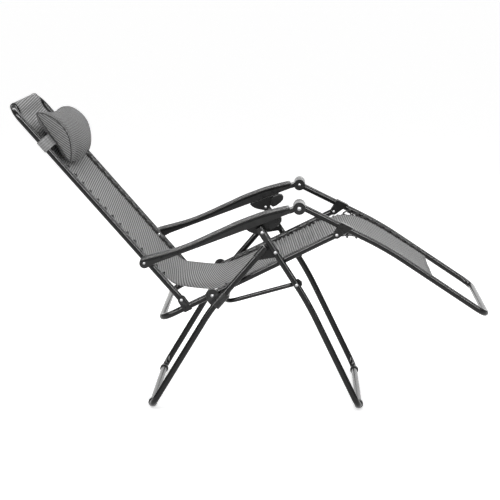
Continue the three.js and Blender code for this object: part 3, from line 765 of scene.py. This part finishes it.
def build_collars():
    """Moulded rings on the floor bars, cut flat at the floor."""
    for stem, body, foot in (("front_foot_pad", "front_legs", FRONT_FOOT),
                             ("rear_foot_pad", "base", REAR_FOOT)):
        for side, sign in SIDES:
            profile = [(radius, sign * (COLLAR_Y + y)) for radius, y in COLLAR]
            verts = turned(foot, profile, COLLAR_SIDES)
            for vert in verts:
                vert.z = max(vert.z, -SHIFT_Z)
            faces = loft_faces(len(profile), COLLAR_SIDES, closed=True)
            obj = make(f"{stem}_{side}_collar", verts, faces, PLASTIC, crease=40)
            attach(obj, body, f"{stem}_{side}")


# ------------------------------------------------------------------ armrest grips
GRIP_HALF = (ARM_OUT - ARM_IN) / 2
GRIP_EDGE_R = 4.0
CROWN_POINTS, CROWN_DROP = 47, 2.2
GROOVES = (-16.5, -11, -5.5, 0, 5.5, 11, 16.5)     # y of the lengthwise grooves
GROOVE_DEPTH, GROOVE_WIDTH = 1.15, 0.95
# Ridged side and lower edge: (inset from the edge, height below the crown)
GRIP_SIDE = ((0.1, -6.9), (1.3, -7.5), (0.1, -8.1), (0.1, -9.2), (1.3, -9.8), (0.1, -10.4),
             (0.4, -11.4), (1.5, -11.95))


def grip_section(groove_share):
    """(y from the middle, height from the crown) around the grip."""
    crown = []
    for i in range(CROWN_POINTS):
        y = -GRIP_HALF + GRIP_EDGE_R + (2 * GRIP_HALF - 2 * GRIP_EDGE_R) * i / (CROWN_POINTS - 1)
        height = -CROWN_DROP * (abs(y) / GRIP_HALF) ** 2.4
        for groove in GROOVES:
            height -= (GROOVE_DEPTH * groove_share
                       * math.exp(-((y - groove) / GROOVE_WIDTH) ** 2))
        crown.append((y, height))
    flank = [(GRIP_HALF - GRIP_EDGE_R + GRIP_EDGE_R * math.cos(math.radians(a)),
              -6.2 + GRIP_EDGE_R * math.sin(math.radians(a))) for a in range(80, -1, -20)]
    flank += [(GRIP_HALF - inset, height) for inset, height in GRIP_SIDE]
    return crown + flank + [(-y, height) for y, height in flank[::-1]]


def build_grips():
    line = [point for point, _ in resample(smooth_line(ARM_TOP, 10), lambda x, z: 6.0)]
    arcs = running_lengths(line)
    core = -6.0     # height the ends shrink towards
    for side, sign in SIDES:
        middle = sign * (ARM_OUT + ARM_IN) / 2
        verts = []
        for i, point in enumerate(line):
            normal = left_of(tangent(line, i))
            from_end = min(arcs[i], arcs[-1] - arcs[i])
            # grooves fade out near the ends, and the ends are rounded
            section = grip_section(smoothstep(from_end / 26.0))
            lip = math.sqrt(max(0.0, 1 - (1 - min(1.0, from_end / 6.0)) ** 2))
            for y, height in section:
                height = core + (height - core) * (0.45 + 0.55 * lip)
                x, z = beyond(point, normal, height)
                verts.append(Vector((x, middle + y * (0.86 + 0.14 * lip), z)))
        faces = loft_faces(len(line), len(section))
        obj = make(f"armrest_grip_{side}", verts, faces, GRIP, crease=50)
        attach(obj, f"armrest_{side}", f"armrest_pad_{side}")


# ------------------------------------------------------------------ sling: line and stations
LOOP_R = TUBE_R + 1.6 + 1.1     # the cloth's radius around the head bar
STRAIGHT_BACK = (815, 780, 700, 620, 550, 480, 400, 320, 250, 190, 130)


def sling_line():
    """From the free end behind the head bar, over the bar, down the back and to the feet."""
    line = [on_back(BACK_L - 66, -LOOP_R * 0.42), on_back(BACK_L - 52, -LOOP_R * 0.55),
            on_back(BACK_L - 24, -LOOP_R * 0.92)]
    for degrees in range(-110, 71, 12):
        a = math.radians(degrees)
        line.append(on_back(BACK_L + LOOP_R * math.cos(a), LOOP_R * math.sin(a)))
    line += [on_back(BACK_L - 16, LOOP_R * 0.8), on_back(BACK_L - 34, 3.4)]
    line += [on_back(up, 0) for up in STRAIGHT_BACK]
    return smooth_line(line + SLING_BACK + SLING_SEAT + SLING_LEG, 6)


def sling_step(x, z):
    """Row spacing: fine over the wrinkled seat front and around the head bar."""
    if 30 < x < 300:
        return 2.9
    if x < -818 or (x < -773 and z > 970):
        return 3.4
    return 6.0


POINTS, ARCS = zip(*resample(sling_line(), sling_step))


def arc_of(x, z):
    i = min(range(len(POINTS)), key=lambda i: (POINTS[i][0] - x) ** 2 + (POINTS[i][1] - z) ** 2)
    return ARCS[i]


def at_arc(arc):
    """Point and direction of the sling line at an arc length."""
    i = next(k for k in range(len(ARCS) - 1) if ARCS[k + 1] >= arc)
    a, b = POINTS[i], POINTS[i + 1]
    return between(a, b, (arc - ARCS[i]) / (ARCS[i + 1] - ARCS[i])), unit(minus(b, a))


def eyelet_row(start, end, count):
    pitch = (end - start) / (count - 1)
    return [start + pitch * k for k in range(count)], pitch


HEAD_EYELET = arc_of(*on_back(BACK_L - 118, 0))
# Arc lengths of the eyelets, and their pitch
EYELETS = {
    "back": eyelet_row(HEAD_EYELET, arc_of(*on_back(104, 2)), 18),
    "seat": eyelet_row(arc_of(-96, 423), arc_of(244, 581), 10),
    "leg_rest": eyelet_row(arc_of(312, 598), arc_of(604, 452), 11)}
WIDEN_START, WIDEN_END = arc_of(-309, 452), arc_of(-190, 412.5)
WRINKLE_START, WRINKLE_END = arc_of(40, 484), arc_of(282, 593)

HEAD_TAPER, EDGE_SCALLOP = 5.0, 2.6     # narrowing at the head and between eyelets
WRINKLE_HEIGHT, WRINKLE_PITCH = 4.1, 17.5
SWELL_HEIGHT, SWELL_PITCH = 1.0, 41.0   # broader waves under the wrinkles
EYELET_PULL, PULL_REACH = 0.9, 26.0
HOLLOW, UNEVEN = 3.2, 1.1               # sag between the rails, random unevenness


def eyelet_waves(arc):
    """(wave that is 1 at eyelets and -1 midway, within the row) where there are eyelets."""
    for marks, pitch in EYELETS.values():
        if marks[0] - pitch / 2 < arc < marks[-1] + pitch / 2:
            yield math.cos(2 * math.pi * (arc - marks[0]) / pitch), marks[0] < arc < marks[-1]


def half_width(arc):
    widening = smoothstep((arc - WIDEN_START + 60) / (WIDEN_END - WIDEN_START + 60))
    half = (HALF_BACK - HEAD_TAPER * (1 - smoothstep((arc - 120) / 120))
            + (HALF_SEAT - HALF_BACK) * widening)
    for wave, within in eyelet_waves(arc):
        half -= EDGE_SCALLOP * (1 - wave) / 2 * (1.0 if within else 0.5)
    return half


def relief(arc, y, half):
    """Out-of-surface offset of the mesh."""
    offset = 0.0
    # wrinkles across the front of the seat
    if WRINKLE_START - 20 < arc < WRINKLE_END + 30:
        window = (smoothstep((arc - WRINKLE_START + 20) / 60)
                  * (1 - smoothstep((arc - WRINKLE_END + 12) / 40)))
        bow = 9.0 * (y / half) ** 2 + 3.0 * math.sin(y / 55.0)
        vary = 0.7 + 0.6 * noise.noise(Vector((arc * 0.013, y * 0.009, 3.1)))
        drift = 5.0 * noise.noise(Vector((arc * 0.008, y * 0.012, 7.7)))
        offset += (WRINKLE_HEIGHT * window * vary
                   * math.sin(2 * math.pi * (arc + bow + drift) / WRINKLE_PITCH))
        offset += (SWELL_HEIGHT * window
                   * math.sin(2 * math.pi * (arc - 0.5 * bow - 2 * drift) / SWELL_PITCH))
    for wave, _ in eyelet_waves(arc):
        offset += EYELET_PULL * wave * math.exp(-(half - abs(y)) / PULL_REACH)
    offset -= (HOLLOW * (1 - (y / half) ** 2)
               * (0.4 + 0.6 * smoothstep((arc - HEAD_EYELET) / 120)))
    return offset + UNEVEN * noise.noise(Vector((arc * 0.006, y * 0.008, 1.3)))


# ------------------------------------------------------------------ sling: cloth
COLUMNS = 72
HALF_THICK, HEM_EXTRA = 0.85, 0.55
SIDE_HEM, END_HEM = 17, 16               # hem widths
SIDE_STITCH, END_STITCH = 13.5, 13       # sewing lines, from the edge
STITCH_HALF, STITCH_DEPTH = 1.6, 0.45
EDGE_ROUND = 1.6


def cloth_half_thickness(from_side, from_end, hem):
    thick = HALF_THICK + (HEM_EXTRA if hem else 0.0)
    if (abs(from_side - SIDE_STITCH) < STITCH_HALF
            or abs(from_end - END_STITCH) < STITCH_HALF):
        thick -= STITCH_DEPTH
    return thick * (0.45 + 0.55 * min(1.0, from_side / EDGE_ROUND))


def sling_faces(rows, columns):
    base = rows * columns
    faces = []
    for row in range(rows - 1):
        for column in range(columns - 1):
            a = row * columns + column
            b = a + columns
            faces.append((a, a + 1, b + 1, b))
            faces.append((base + a, base + b, base + b + 1, base + a + 1))
    # close the two ends, then the two sides
    for a in range(columns - 1):
        faces.append((a, base + a, base + a + 1, a + 1))
        b = (rows - 1) * columns + a
        faces.append((b, b + 1, base + b + 1, base + b))
    for row in range(rows - 1):
        a = row * columns
        faces.append((a, a + columns, base + a + columns, base + a))
        b = a + columns - 1
        faces.append((b, base + b, base + b + columns, b + columns))
    return faces


def sling_piece(name, first, last):
    """Cloth with thickness over sling stations first to last: upper layer, then lower."""
    verts, weave = [], []
    for layer in (1, -1):
        for i in range(first, last + 1):
            arc = ARCS[i]
            normal = left_of(tangent(POINTS, i))
            half = half_width(arc)
            from_end = min(arc, ARCS[-1] - arc)
            rise = smoothstep((arc - 60) / 80)     # no relief around the head bar
            # the weave runs further askew at the rear of the seat
            skew = (0.06 + 0.2 * smoothstep((arc - WIDEN_START) / 240)
                    * (1 - smoothstep((arc - WRINKLE_START + 90) / 160)))
            for j in range(COLUMNS + 1):
                share = j / COLUMNS * 2 - 1
                y = half * math.copysign(abs(share) ** 0.93, share)
                from_side = half - abs(y)
                hem = 1.0 if (from_side < SIDE_HEM or from_end < END_HEM) else 0.0
                offset = (relief(arc, y, half) * rise
                          + layer * cloth_half_thickness(from_side, from_end, hem))
                x, z = beyond(POINTS[i], normal, offset)
                verts.append(Vector((x, y, z)))
                weave.append(((arc + y * skew) * MM, y * MM, hem))
    obj = make(name, verts, sling_faces(last - first + 1, COLUMNS + 1), MESH, crease=60)
    set_weave(obj, weave)
    return obj


def build_sling():
    split_x = -40.0
    split = min(range(len(POINTS)), key=lambda i: abs(POINTS[i][0] - split_x))
    upper = sling_piece("sling_upper", 0, split)
    lower = sling_piece("sling_lower", split, len(POINTS) - 1)
    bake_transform(upper)
    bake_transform(lower)
    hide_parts("sling_back")
    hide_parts("sling_seat", "sling_leg")


# ------------------------------------------------------------------ eyelets and lacing
EYELET_INSET = 6.5
EYELET_R, EYELET_SECTION_R, EYELET_LIFT = 4.9, 2.0, 1.5
CORD_R, KNOT_R = 2.8, 3.4
LEG_LINE = [(p.x, p.z) for p in rounded([(Vector((x, 0, z)), LEG_BEND_R) for x, z in LEG_RAIL])]
# body, name stem, rail axis (x, z)
LACINGS = (("back", "cord_back", [BACK_FOOT, BACK_HEAD]),
           ("seat", "cord_seat", [SEAT_REAR, SEAT_FRONT]),
           ("leg_rest", "cord_leg", LEG_LINE))
# Clip section: degrees around the rail where it hugs the tube, then (degrees, height) over it
CLIP_INNER = (-46, -38, -26, -13, 0, 13, 26, 38, 46)
CLIP_OUTER = ((46, 1.8), (40, 4.2), (28, 6.0), (14, 6.7), (0, 6.9), (-14, 6.7), (-28, 6.0),
              (-40, 4.2), (-46, 1.8))
# Clip stations: (place along the rail, share of the section's height)
CLIP_ENDS = ((-5.5, 0.55), (-4.9, 0.86), (-3.6, 1.0), (3.6, 1.0), (4.9, 0.86), (5.5, 0.55))


def surface_frame(arc, y):
    """Place on the sling, with its directions along the sling and out of it."""
    point, along = at_arc(arc)
    normal = left_of(along)
    x, z = beyond(point, normal, relief(arc, y, half_width(arc)))
    return Vector((x, y, z)), Vector((along[0], 0, along[1])), Vector((normal[0], 0, normal[1]))


def eyelet_ring(centre, along, normal):
    """A slightly flattened torus."""
    ring_sides, section_sides = 20, 8
    across = along.cross(normal)
    verts = []
    for i in range(ring_sides):
        a = 2 * math.pi * i / ring_sides
        outward = along * math.cos(a) + across * math.sin(a)
        for k in range(section_sides):
            b = 2 * math.pi * k / section_sides
            verts.append(centre + outward * (EYELET_R + EYELET_SECTION_R * math.cos(b))
                         + normal * (EYELET_SECTION_R * 0.75 * math.sin(b)))
    return verts, loft_faces(ring_sides, section_sides, closed=True)


def clip(centre, inward, axis, side):
    """Small moulded saddle on the mesh side of a rail, bridging the cord."""
    seat_r = TUBE_R + 0.1
    verts = []
    for place, share in CLIP_ENDS:
        section = [(a, seat_r) for a in CLIP_INNER]
        section += [(a, seat_r + (TUBE_R + height - seat_r) * share) for a, height in CLIP_OUTER]
        for degrees, radius in section:
            a = math.radians(degrees)
            verts.append(centre + axis * place + inward * (radius * math.cos(a))
                         + side * (radius * math.sin(a)))
    return verts, loft_faces(len(CLIP_ENDS), len(section))


def knot(centre):
    bands, sides = 8, 10
    verts = []
    for i in range(1, bands):
        polar = math.pi * i / bands
        for k in range(sides):
            a = 2 * math.pi * k / sides
            verts.append(centre + Vector((math.sin(polar) * math.cos(a),
                                          math.sin(polar) * math.sin(a),
                                          math.cos(polar))) * KNOT_R)
    return verts, loft_faces(bands - 1, sides)


def lacing(marks, rail, sign):
    """(cord, clips, eyelets), each as (verts, faces), for one side of one rail."""
    rings, clips, path = [], [], []
    for k, arc in enumerate(marks):
        y = sign * (half_width(arc) - EYELET_INSET)
        centre, along, normal = surface_frame(arc, y)
        for lift in (EYELET_LIFT, -EYELET_LIFT):
            rings.append(eyelet_ring(centre + normal * lift, along, normal))
        outward = Vector((0, sign * 1.5, 0))
        path += [centre - normal * 6.0 + outward, centre, centre + normal * 6.0 + outward]
        if k == len(marks) - 1:
            break
        midway = surface_frame((arc + marks[k + 1]) / 2, y)[0]
        _, segment, _, foot = nearest_on(rail, (midway.x, midway.z))
        run = unit(minus(rail[segment + 1], rail[segment]))
        axis = Vector((run[0], 0, run[1]))
        if axis.dot(along) < 0:
            axis = -axis
        on_rail = Vector((foot[0], sign * Y_RAIL, foot[1]))
        inward = midway - on_rail
        inward = (inward - axis * inward.dot(axis)).normalized()
        side = axis.cross(inward).normalized()
        swing = side * (1 if side.dot(normal) > 0 else -1) * 2.2
        tip = on_rail + inward * (TUBE_R + 3.0)
        # leaves the eyelet above the cloth, runs under the rail clip and comes back from below
        path += [tip - axis * 6.0 + swing + inward * 2.0, tip - axis * 2.4,
                 tip + axis * 2.4, tip + axis * 6.0 - swing + inward * 2.0]
        clips.append(clip(on_rail, inward, axis, side))
    cord = tube(smooth_path(path, 4), CORD_R, sides=8, chamfer=0.6)
    cord = merge_parts([cord, knot(path[0]), knot(path[-1])])
    return cord, merge_parts(clips), merge_parts(rings)


def build_lacing():
    for body, stem, rail in LACINGS:
        for side, sign in SIDES:
            cord, clips, rings = lacing(EYELETS[body][0], rail, sign)
            obj = make(f"{stem}_lacing_{side}", *cord, CORD, crease=60)
            attach(obj, body, f"{stem}_{side}")
            attach(make(f"{stem}_clips_{side}", *clips, EYELET, crease=40), body)
            attach(make(f"{stem}_eyelets_{side}", *rings, EYELET, crease=60), body)


# ------------------------------------------------------------------ head pillow
# Outlines in the back frame's axes, (up, out), at the middle and at the -y and +y ends
PILLOW_MID = [
    (569, 10), (579, 31), (594, 52), (616, 69), (644, 82), (674, 91), (704, 93), (734, 88),
    (757, 76), (776, 58), (788, 36), (782, 11), (732, 6), (682, 6), (632, 6), (588, 6)]
PILLOW_RIGHT = [
    (588, 10), (606, 34), (630, 56), (650, 70), (672, 81), (696, 87), (720, 88), (746, 85),
    (770, 77), (790, 67), (805, 56), (812, 43), (768, 34), (710, 27), (655, 20), (616, 12)]
PILLOW_LEFT = [
    (580, 12), (600, 36), (622, 56), (642, 70), (664, 81), (686, 87), (708, 88), (732, 85),
    (754, 76), (771, 62), (782, 44), (784, 24), (742, 16), (692, 12), (640, 9), (606, 9)]
REAR_CORNER = 11              # index of the rear upper corner in each outline
PILLOW_CENTRE = (692.0, 46.0)
PILLOW_HALF = 219.0
OUTLINE_COUNT = 64
FRONT_COUNT = int(OUTLINE_COUNT * 0.62)
UNINFLATED = 0.95             # outline scale before the cloth is blown up
END_BULGE = 5


def resample_outline(outline):
    """Front and rear parts of a closed outline, each evenly sampled."""
    points = []
    for part, count in ((outline[:REAR_CORNER + 1], FRONT_COUNT),
                        (outline[REAR_CORNER:] + [outline[0]], OUTLINE_COUNT - FRONT_COUNT)):
        line = smooth_line(part, 8)
        lengths = running_lengths(line)
        for k in range(count):
            arc = lengths[-1] * k / count
            i = max(j for j in range(len(lengths)) if lengths[j] <= arc + 1e-9)
            i = min(i, len(line) - 2)
            share = (arc - lengths[i]) / max(1e-9, lengths[i + 1] - lengths[i])
            points.append(between(line[i], line[i + 1], share))
    return points


MID_OUTLINE = resample_outline(PILLOW_MID)
END_OUTLINE = {-1: resample_outline(PILLOW_RIGHT), 1: resample_outline(PILLOW_LEFT)}
SEAMS = {sign: outline + [outline[0]] for sign, outline in END_OUTLINE.items()}
SEAM_LENGTHS = {sign: running_lengths(seam) for sign, seam in SEAMS.items()}


def outline_at(y):
    blend = smoothstep(abs(y) / PILLOW_HALF) ** 1.5
    return [between(PILLOW_CENTRE, between(mid, end, blend), UNINFLATED)
            for mid, end in zip(MID_OUTLINE, END_OUTLINE[1 if y > 0 else -1])]


def pillow_shell():
    """Closed shell of the pillow before it is blown up."""
    stations = [math.sin(math.pi / 2 * k / 16) * PILLOW_HALF for k in range(-16, 17)]
    verts = [on_back_3d(*point, y) for y in stations for point in outline_at(y)]
    faces = loft_faces(len(stations), OUTLINE_COUNT)[:-2]     # without the flat caps
    for station, sign in ((0, -1), (len(stations) - 1, 1)):
        outline = outline_at(sign * PILLOW_HALF)
        centre = (sum(p[0] for p in outline) / OUTLINE_COUNT,
                  sum(p[1] for p in outline) / OUTLINE_COUNT)
        last = [station * OUTLINE_COUNT + k for k in range(OUTLINE_COUNT)]
        for share in (0.82, 0.6, 0.36):
            ring = [len(verts) + k for k in range(OUTLINE_COUNT)]
            y = sign * (PILLOW_HALF + END_BULGE * (1 - share ** 2))
            verts += [on_back_3d(*between(centre, point, share), y) for point in outline]
            for k in range(OUTLINE_COUNT):
                m = (k + 1) % OUTLINE_COUNT
                faces.append((last[k], last[m], ring[m], ring[k]) if sign > 0
                             else (last[k], ring[k], ring[m], last[m]))
            last = ring
        tip = len(verts)
        verts.append(on_back_3d(*centre, sign * (PILLOW_HALF + END_BULGE)))
        for k in range(OUTLINE_COUNT):
            after = last[(k + 1) % OUTLINE_COUNT]
            faces.append((last[k], after, tip) if sign > 0 else (last[k], tip, after))
    return verts, faces


def apply_modifier(obj, modifier):
    for other in bpy.context.selected_objects:
        other.select_set(False)
    bpy.context.view_layer.objects.active = obj
    obj.select_set(True)
    bpy.ops.object.modifier_apply(modifier=modifier.name)


def vertex_places(mesh):
    places = np.empty(len(mesh.vertices) * 3)
    mesh.vertices.foreach_get("co", places)
    return places.reshape(-1, 3)


def blown_up(obj, pressure, frames):
    """Vertex places after the object is simulated as pressurised cloth."""
    cloth = obj.modifiers.new("cloth", "CLOTH")
    settings = cloth.settings
    settings.use_pressure = True
    settings.uniform_pressure_force = pressure
    settings.quality = 5
    settings.mass = 0.25
    settings.tension_stiffness = 14
    settings.compression_stiffness = 10
    settings.shear_stiffness = 6
    settings.bending_stiffness = 0.6
    settings.effector_weights.gravity = 0
    cloth.point_cache.frame_start = 1
    cloth.point_cache.frame_end = frames
    scene = bpy.context.scene
    for number in range(1, frames + 1):
        scene.frame_set(number)
    depsgraph = bpy.context.evaluated_depsgraph_get()
    places = vertex_places(obj.evaluated_get(depsgraph).data)
    obj.modifiers.remove(cloth)
    scene.frame_set(1)
    return places


def inflate(obj, voxel, pressure, frames, cap, plane):
    """Voxel remesh and blow up, moving no point over cap and keeping all above the plane.

    Lengths are metres; plane is (point, normal, least height).
    """
    remesh = obj.modifiers.new("remesh", "REMESH")
    remesh.mode = "VOXEL"
    remesh.voxel_size = voxel
    apply_modifier(obj, remesh)
    rest = vertex_places(obj.data)
    moved = blown_up(obj, pressure, frames)
    shift = moved - rest
    length = np.linalg.norm(shift, axis=1, keepdims=True)
    shift = np.where(length > cap, shift / np.maximum(length, 1e-9) * cap, shift)
    places = rest + shift
    point, normal, least = np.array(plane[0]), np.array(plane[1]), plane[2]
    height = (places - point) @ normal
    places += np.maximum(least - height, 0)[:, None] * normal[None, :]
    obj.data.vertices.foreach_set("co", places.astype(np.float32).ravel())
    obj.data.update()


UP = Vector((BACK_UP[0], 0, BACK_UP[1]))
OUT = Vector((BACK_OUT[0], 0, BACK_OUT[1]))
SHIFT = Vector((SHIFT_X, 0, SHIFT_Z))
SEAM_DEPTH, SEAM_REACH = 4.2, 5.5
PUCKER_HEIGHT, PUCKER_PITCH, PUCKER_REACH = 0.75, 15.0, 13.0
DENT_DEPTH = 1.6


def nearest_seam(up, out, sign):
    """(distance, arc length) of the nearest place on an end's seam."""
    distance, i, share, _ = nearest_on(SEAMS[sign], (up, out))
    lengths = SEAM_LENGTHS[sign]
    return distance, lengths[i] + (lengths[i + 1] - lengths[i]) * share


def shape_pillow(mesh):
    """Draws in the end seams, puckers the cloth beside them and adds soft dents."""
    mesh.update()
    normals = [v.normal.copy() for v in mesh.vertices]
    origin = Vector((BACK_FOOT[0] + SHIFT_X, 0, BACK_FOOT[1] + SHIFT_Z))
    weave = []
    for vert, normal in zip(mesh.vertices, normals):
        place = vert.co * 1000.0
        up, out, y = (place - origin).dot(UP), (place - origin).dot(OUT), place.y
        if abs(y) > PILLOW_HALF - 46:
            in_plane, arc = nearest_seam(up, out, 1 if y > 0 else -1)
            distance = math.hypot(in_plane, max(0.0, abs(abs(y) - PILLOW_HALF) - 2.0))
            pull = SEAM_DEPTH * math.exp(-(distance / SEAM_REACH) ** 2)
            phase = (arc * 2 * math.pi / PUCKER_PITCH
                     + 2.0 * noise.noise(Vector((arc * 0.02, 0, 0))))
            pucker = (PUCKER_HEIGHT * math.exp(-(max(0.0, distance - 3) / PUCKER_REACH))
                      * math.sin(phase))
            vert.co += normal * (-pull + pucker * (1 - math.exp(-(distance / 4.0) ** 2))) * 0.001
        dent = noise.noise(Vector((up * 0.014, out * 0.014, y * 0.011)))
        vert.co += normal * (DENT_DEPTH * dent) * 0.001
        if abs(y) > PILLOW_HALF - 12 and abs(normal.y) > 0.6:
            weave.append((out * MM, up * MM, 0))     # end panels
        else:
            weave.append((nearest_seam(up, out, -1)[1] * MM, y * MM, 0))
    for polygon in mesh.polygons:
        polygon.use_smooth = True
    return weave


def build_piping(pillow):
    """Thin tubes laid on the pillow along both end seams."""
    bm = bmesh.new()
    bm.from_mesh(pillow.data)
    tree = BVHTree.FromBMesh(bm)
    parts = []
    for sign in (-1, 1):
        path = []
        for point in END_OUTLINE[sign]:
            outside = on_back_3d(*between(PILLOW_CENTRE, point, 1.03), sign * (PILLOW_HALF + 3))
            found, normal, _, _ = tree.find_nearest((outside + SHIFT) * 0.001)
            path.append(found * 1000 + normal * 0.5 - SHIFT)
        for _ in range(2):
            path = [(path[k - 1] + path[k] * 2 + path[(k + 1) % OUTLINE_COUNT]) / 4
                    for k in range(OUTLINE_COUNT)]
        parts.append(tube(path, 1.75, sides=10, closed=True))
    bm.free()
    verts, faces = merge_parts(parts)
    piping = make("pillow_piping", verts, faces, PIPING, crease=70)
    set_weave(piping, [(v[0] * 0.0011, v[2] * 0.0011 + v[1] * 0.0007, 0) for v in verts])
    return piping


def build_pillow():
    pillow = make("head_pillow", *pillow_shell(), PILLOW, crease=60)
    rail_point = ((BACK_FOOT[0] + SHIFT_X) * MM, 0, (BACK_FOOT[1] + SHIFT_Z) * MM)
    inflate(pillow, voxel=0.0055, pressure=4.0, frames=20, cap=0.008,
            plane=(rail_point, tuple(OUT), 0.0045))
    set_weave(pillow, shape_pillow(pillow.data))
    subdivide = pillow.modifiers.new("sub", "SUBSURF")
    subdivide.levels = 1
    apply_modifier(pillow, subdivide)
    # guards against applied modifiers leaving the mesh without its material
    if len(pillow.data.materials) == 0:
        pillow.data.materials.append(PILLOW)
    piping = build_piping(pillow)
    attach(pillow, "headrest", "headrest_pillow")
    attach(piping, "headrest")


# ------------------------------------------------------------------ elastic strap
STRAP_LOW, STRAP_HIGH = 680.0, 722.0     # edges, up the back
STRAP_HALF_THICK = 0.85
STRAP_LOOP_R = TUBE_R + 2.4
# (y, out) from the pillow to the right rail
STRAP_FRONT = [(-192, 27.5), (-206, 26.5), (-220, 24.5), (-233, 21.5), (-242, 18)]


def strap_line():
    """(y, out): from the right front, round the rail, behind the back and mirrored."""
    half = list(STRAP_FRONT)
    for degrees in (66, 78, 92, 106, *range(120, 271, 15)):
        a = math.radians(degrees)
        half.append((-Y_RAIL + STRAP_LOOP_R * math.cos(a), STRAP_LOOP_R * math.sin(a)))
    half += [(-236, -STRAP_LOOP_R - 0.6), (-200, -STRAP_LOOP_R - 1.2),
             (-120, -STRAP_LOOP_R - 1.6)]
    mirrored = [(-y, out) for y, out in half[::-1]]
    return smooth_line(half + [(0, -STRAP_LOOP_R - 1.8)] + mirrored, 4)


def build_strap():
    line = strap_line()
    arcs = running_lengths(line)
    # (share of the half width, share of the half thickness), with softened edges
    half = [(-1.0, -0.55), (-1.0, 0.55)] + [(-0.97 + 1.94 * k / 10, 1.0) for k in range(11)]
    section = half + [(-width, -thick) for width, thick in half]
    verts, weave = [], []
    for i, point in enumerate(line):
        normal = left_of(tangent(line, i))
        for width, thick in section:
            y, out = (point[0] + normal[0] * thick * STRAP_HALF_THICK,
                      point[1] + normal[1] * thick * STRAP_HALF_THICK)
            up = (STRAP_LOW + STRAP_HIGH) / 2 + width * (STRAP_HIGH - STRAP_LOW) / 2
            verts.append(on_back_3d(up, out, y))
            weave.append((arcs[i] * MM, up * MM, 0))
    strap = make("elastic_strap", verts, loft_faces(len(line), len(section)), STRAP, crease=50)
    set_weave(strap, weave)
    attach(strap, "headrest", "headrest_strap")


# ------------------------------------------------------------------ stage, light, camera
def build_floor():
    half, z = 300, -0.0005     # metres
    mesh = bpy.data.meshes.new("floor")
    mesh.from_pydata([(-half, -half, z), (half, -half, z), (half, half, z), (-half, half, z)],
                     [], [(0, 1, 2, 3)])
    floor = bpy.data.objects.new("floor", mesh)
    bpy.context.scene.collection.objects.link(floor)
    m = Mat("pale_floor")
    m.set({"Base Color": (0.93, 0.93, 0.93, 1), "Roughness": 0.7, "Specular IOR Level": 0.1,
           "Emission Color": (1, 1, 1, 1), "Emission Strength": 0.6})
    mesh.materials.append(m.mat)


def build_world():
    """White surroundings, dimmer as a light than as seen by the camera."""
    scene = bpy.context.scene
    if scene.world is None:
        scene.world = bpy.data.worlds.new("studio")
    scene.world.use_nodes = True
    tree = scene.world.node_tree
    lighting = tree.nodes["Background"]
    path = tree.nodes.new("ShaderNodeLightPath")
    seen = tree.nodes.new("ShaderNodeBackground")
    for background, strength in ((lighting, 0.42), (seen, 1.0)):
        background.inputs["Color"].default_value = (1, 1, 1, 1)
        background.inputs["Strength"].default_value = strength
    mix = tree.nodes.new("ShaderNodeMixShader")
    tree.links.new(path.outputs["Is Camera Ray"], mix.inputs[0])
    tree.links.new(lighting.outputs[0], mix.inputs[1])
    tree.links.new(seen.outputs[0], mix.inputs[2])
    tree.links.new(mix.outputs[0], tree.nodes["World Output"].inputs["Surface"])


# name, place, aim, size (metres), watts, left out of diffuse light
# The long strips along the chair draw the thin highlights on the tubes.
LIGHTS = (
    ("key", (-0.9, -2.4, 3.4), (0, 0, 0.5), (1.6, 1.0), 42, False),
    ("top", (0.3, 0.8, 3.6), (0, 0, 0.5), (2.6, 1.2), 30, False),
    ("rim", (1.6, 3.2, 2.2), (0, 0, 0.6), (2.4, 1.0), 18, False),
    ("strip_front", (0.8, -4.6, 3.3), (0.8, 0, 0.6), (16.0, 0.9), 1500, True),
    ("back_card", (0, 5.5, 1.7), (0, 0, 0.8), (9.0, 3.2), 110, True),
    ("strip_top", (0.8, 0.6, 4.2), (0.8, 0, 0.6), (13.0, 0.7), 650, True),
)


def build_lights():
    for name, place, aim, size, watts, gloss_only in LIGHTS:
        light = bpy.data.lights.new(name, "AREA")
        light.shape = "RECTANGLE"
        light.size, light.size_y = size
        light.energy = watts
        obj = bpy.data.objects.new(name, light)
        obj.location = place
        direction = Vector(aim) - Vector(place)
        obj.rotation_euler = direction.to_track_quat("-Z", "Y").to_euler()
        obj.visible_camera = False
        if gloss_only:
            obj.visible_diffuse = False
        bpy.context.scene.collection.objects.link(obj)


def build_camera():
    scene = bpy.context.scene
    camera = bpy.data.cameras.new("camera")
    camera.lens = 109.7
    camera.sensor_width = 36.0
    camera.clip_end = 1000
    obj = bpy.data.objects.new("camera", camera)
    obj.location = (0.16602, -5.341, 1.5131)
    obj.rotation_euler = (math.radians(79.399), 0, math.radians(1.877))
    scene.collection.objects.link(obj)
    scene.camera = obj
    scene.view_settings.view_transform = "Standard"
    scene.view_settings.look = "None"


finish_cad_nodes()
build_tubes()
build_rivets()
build_collars()
build_grips()
build_sling()
build_lacing()
build_pillow()
build_strap()
build_floor()
build_world()
build_lights()
build_camera()
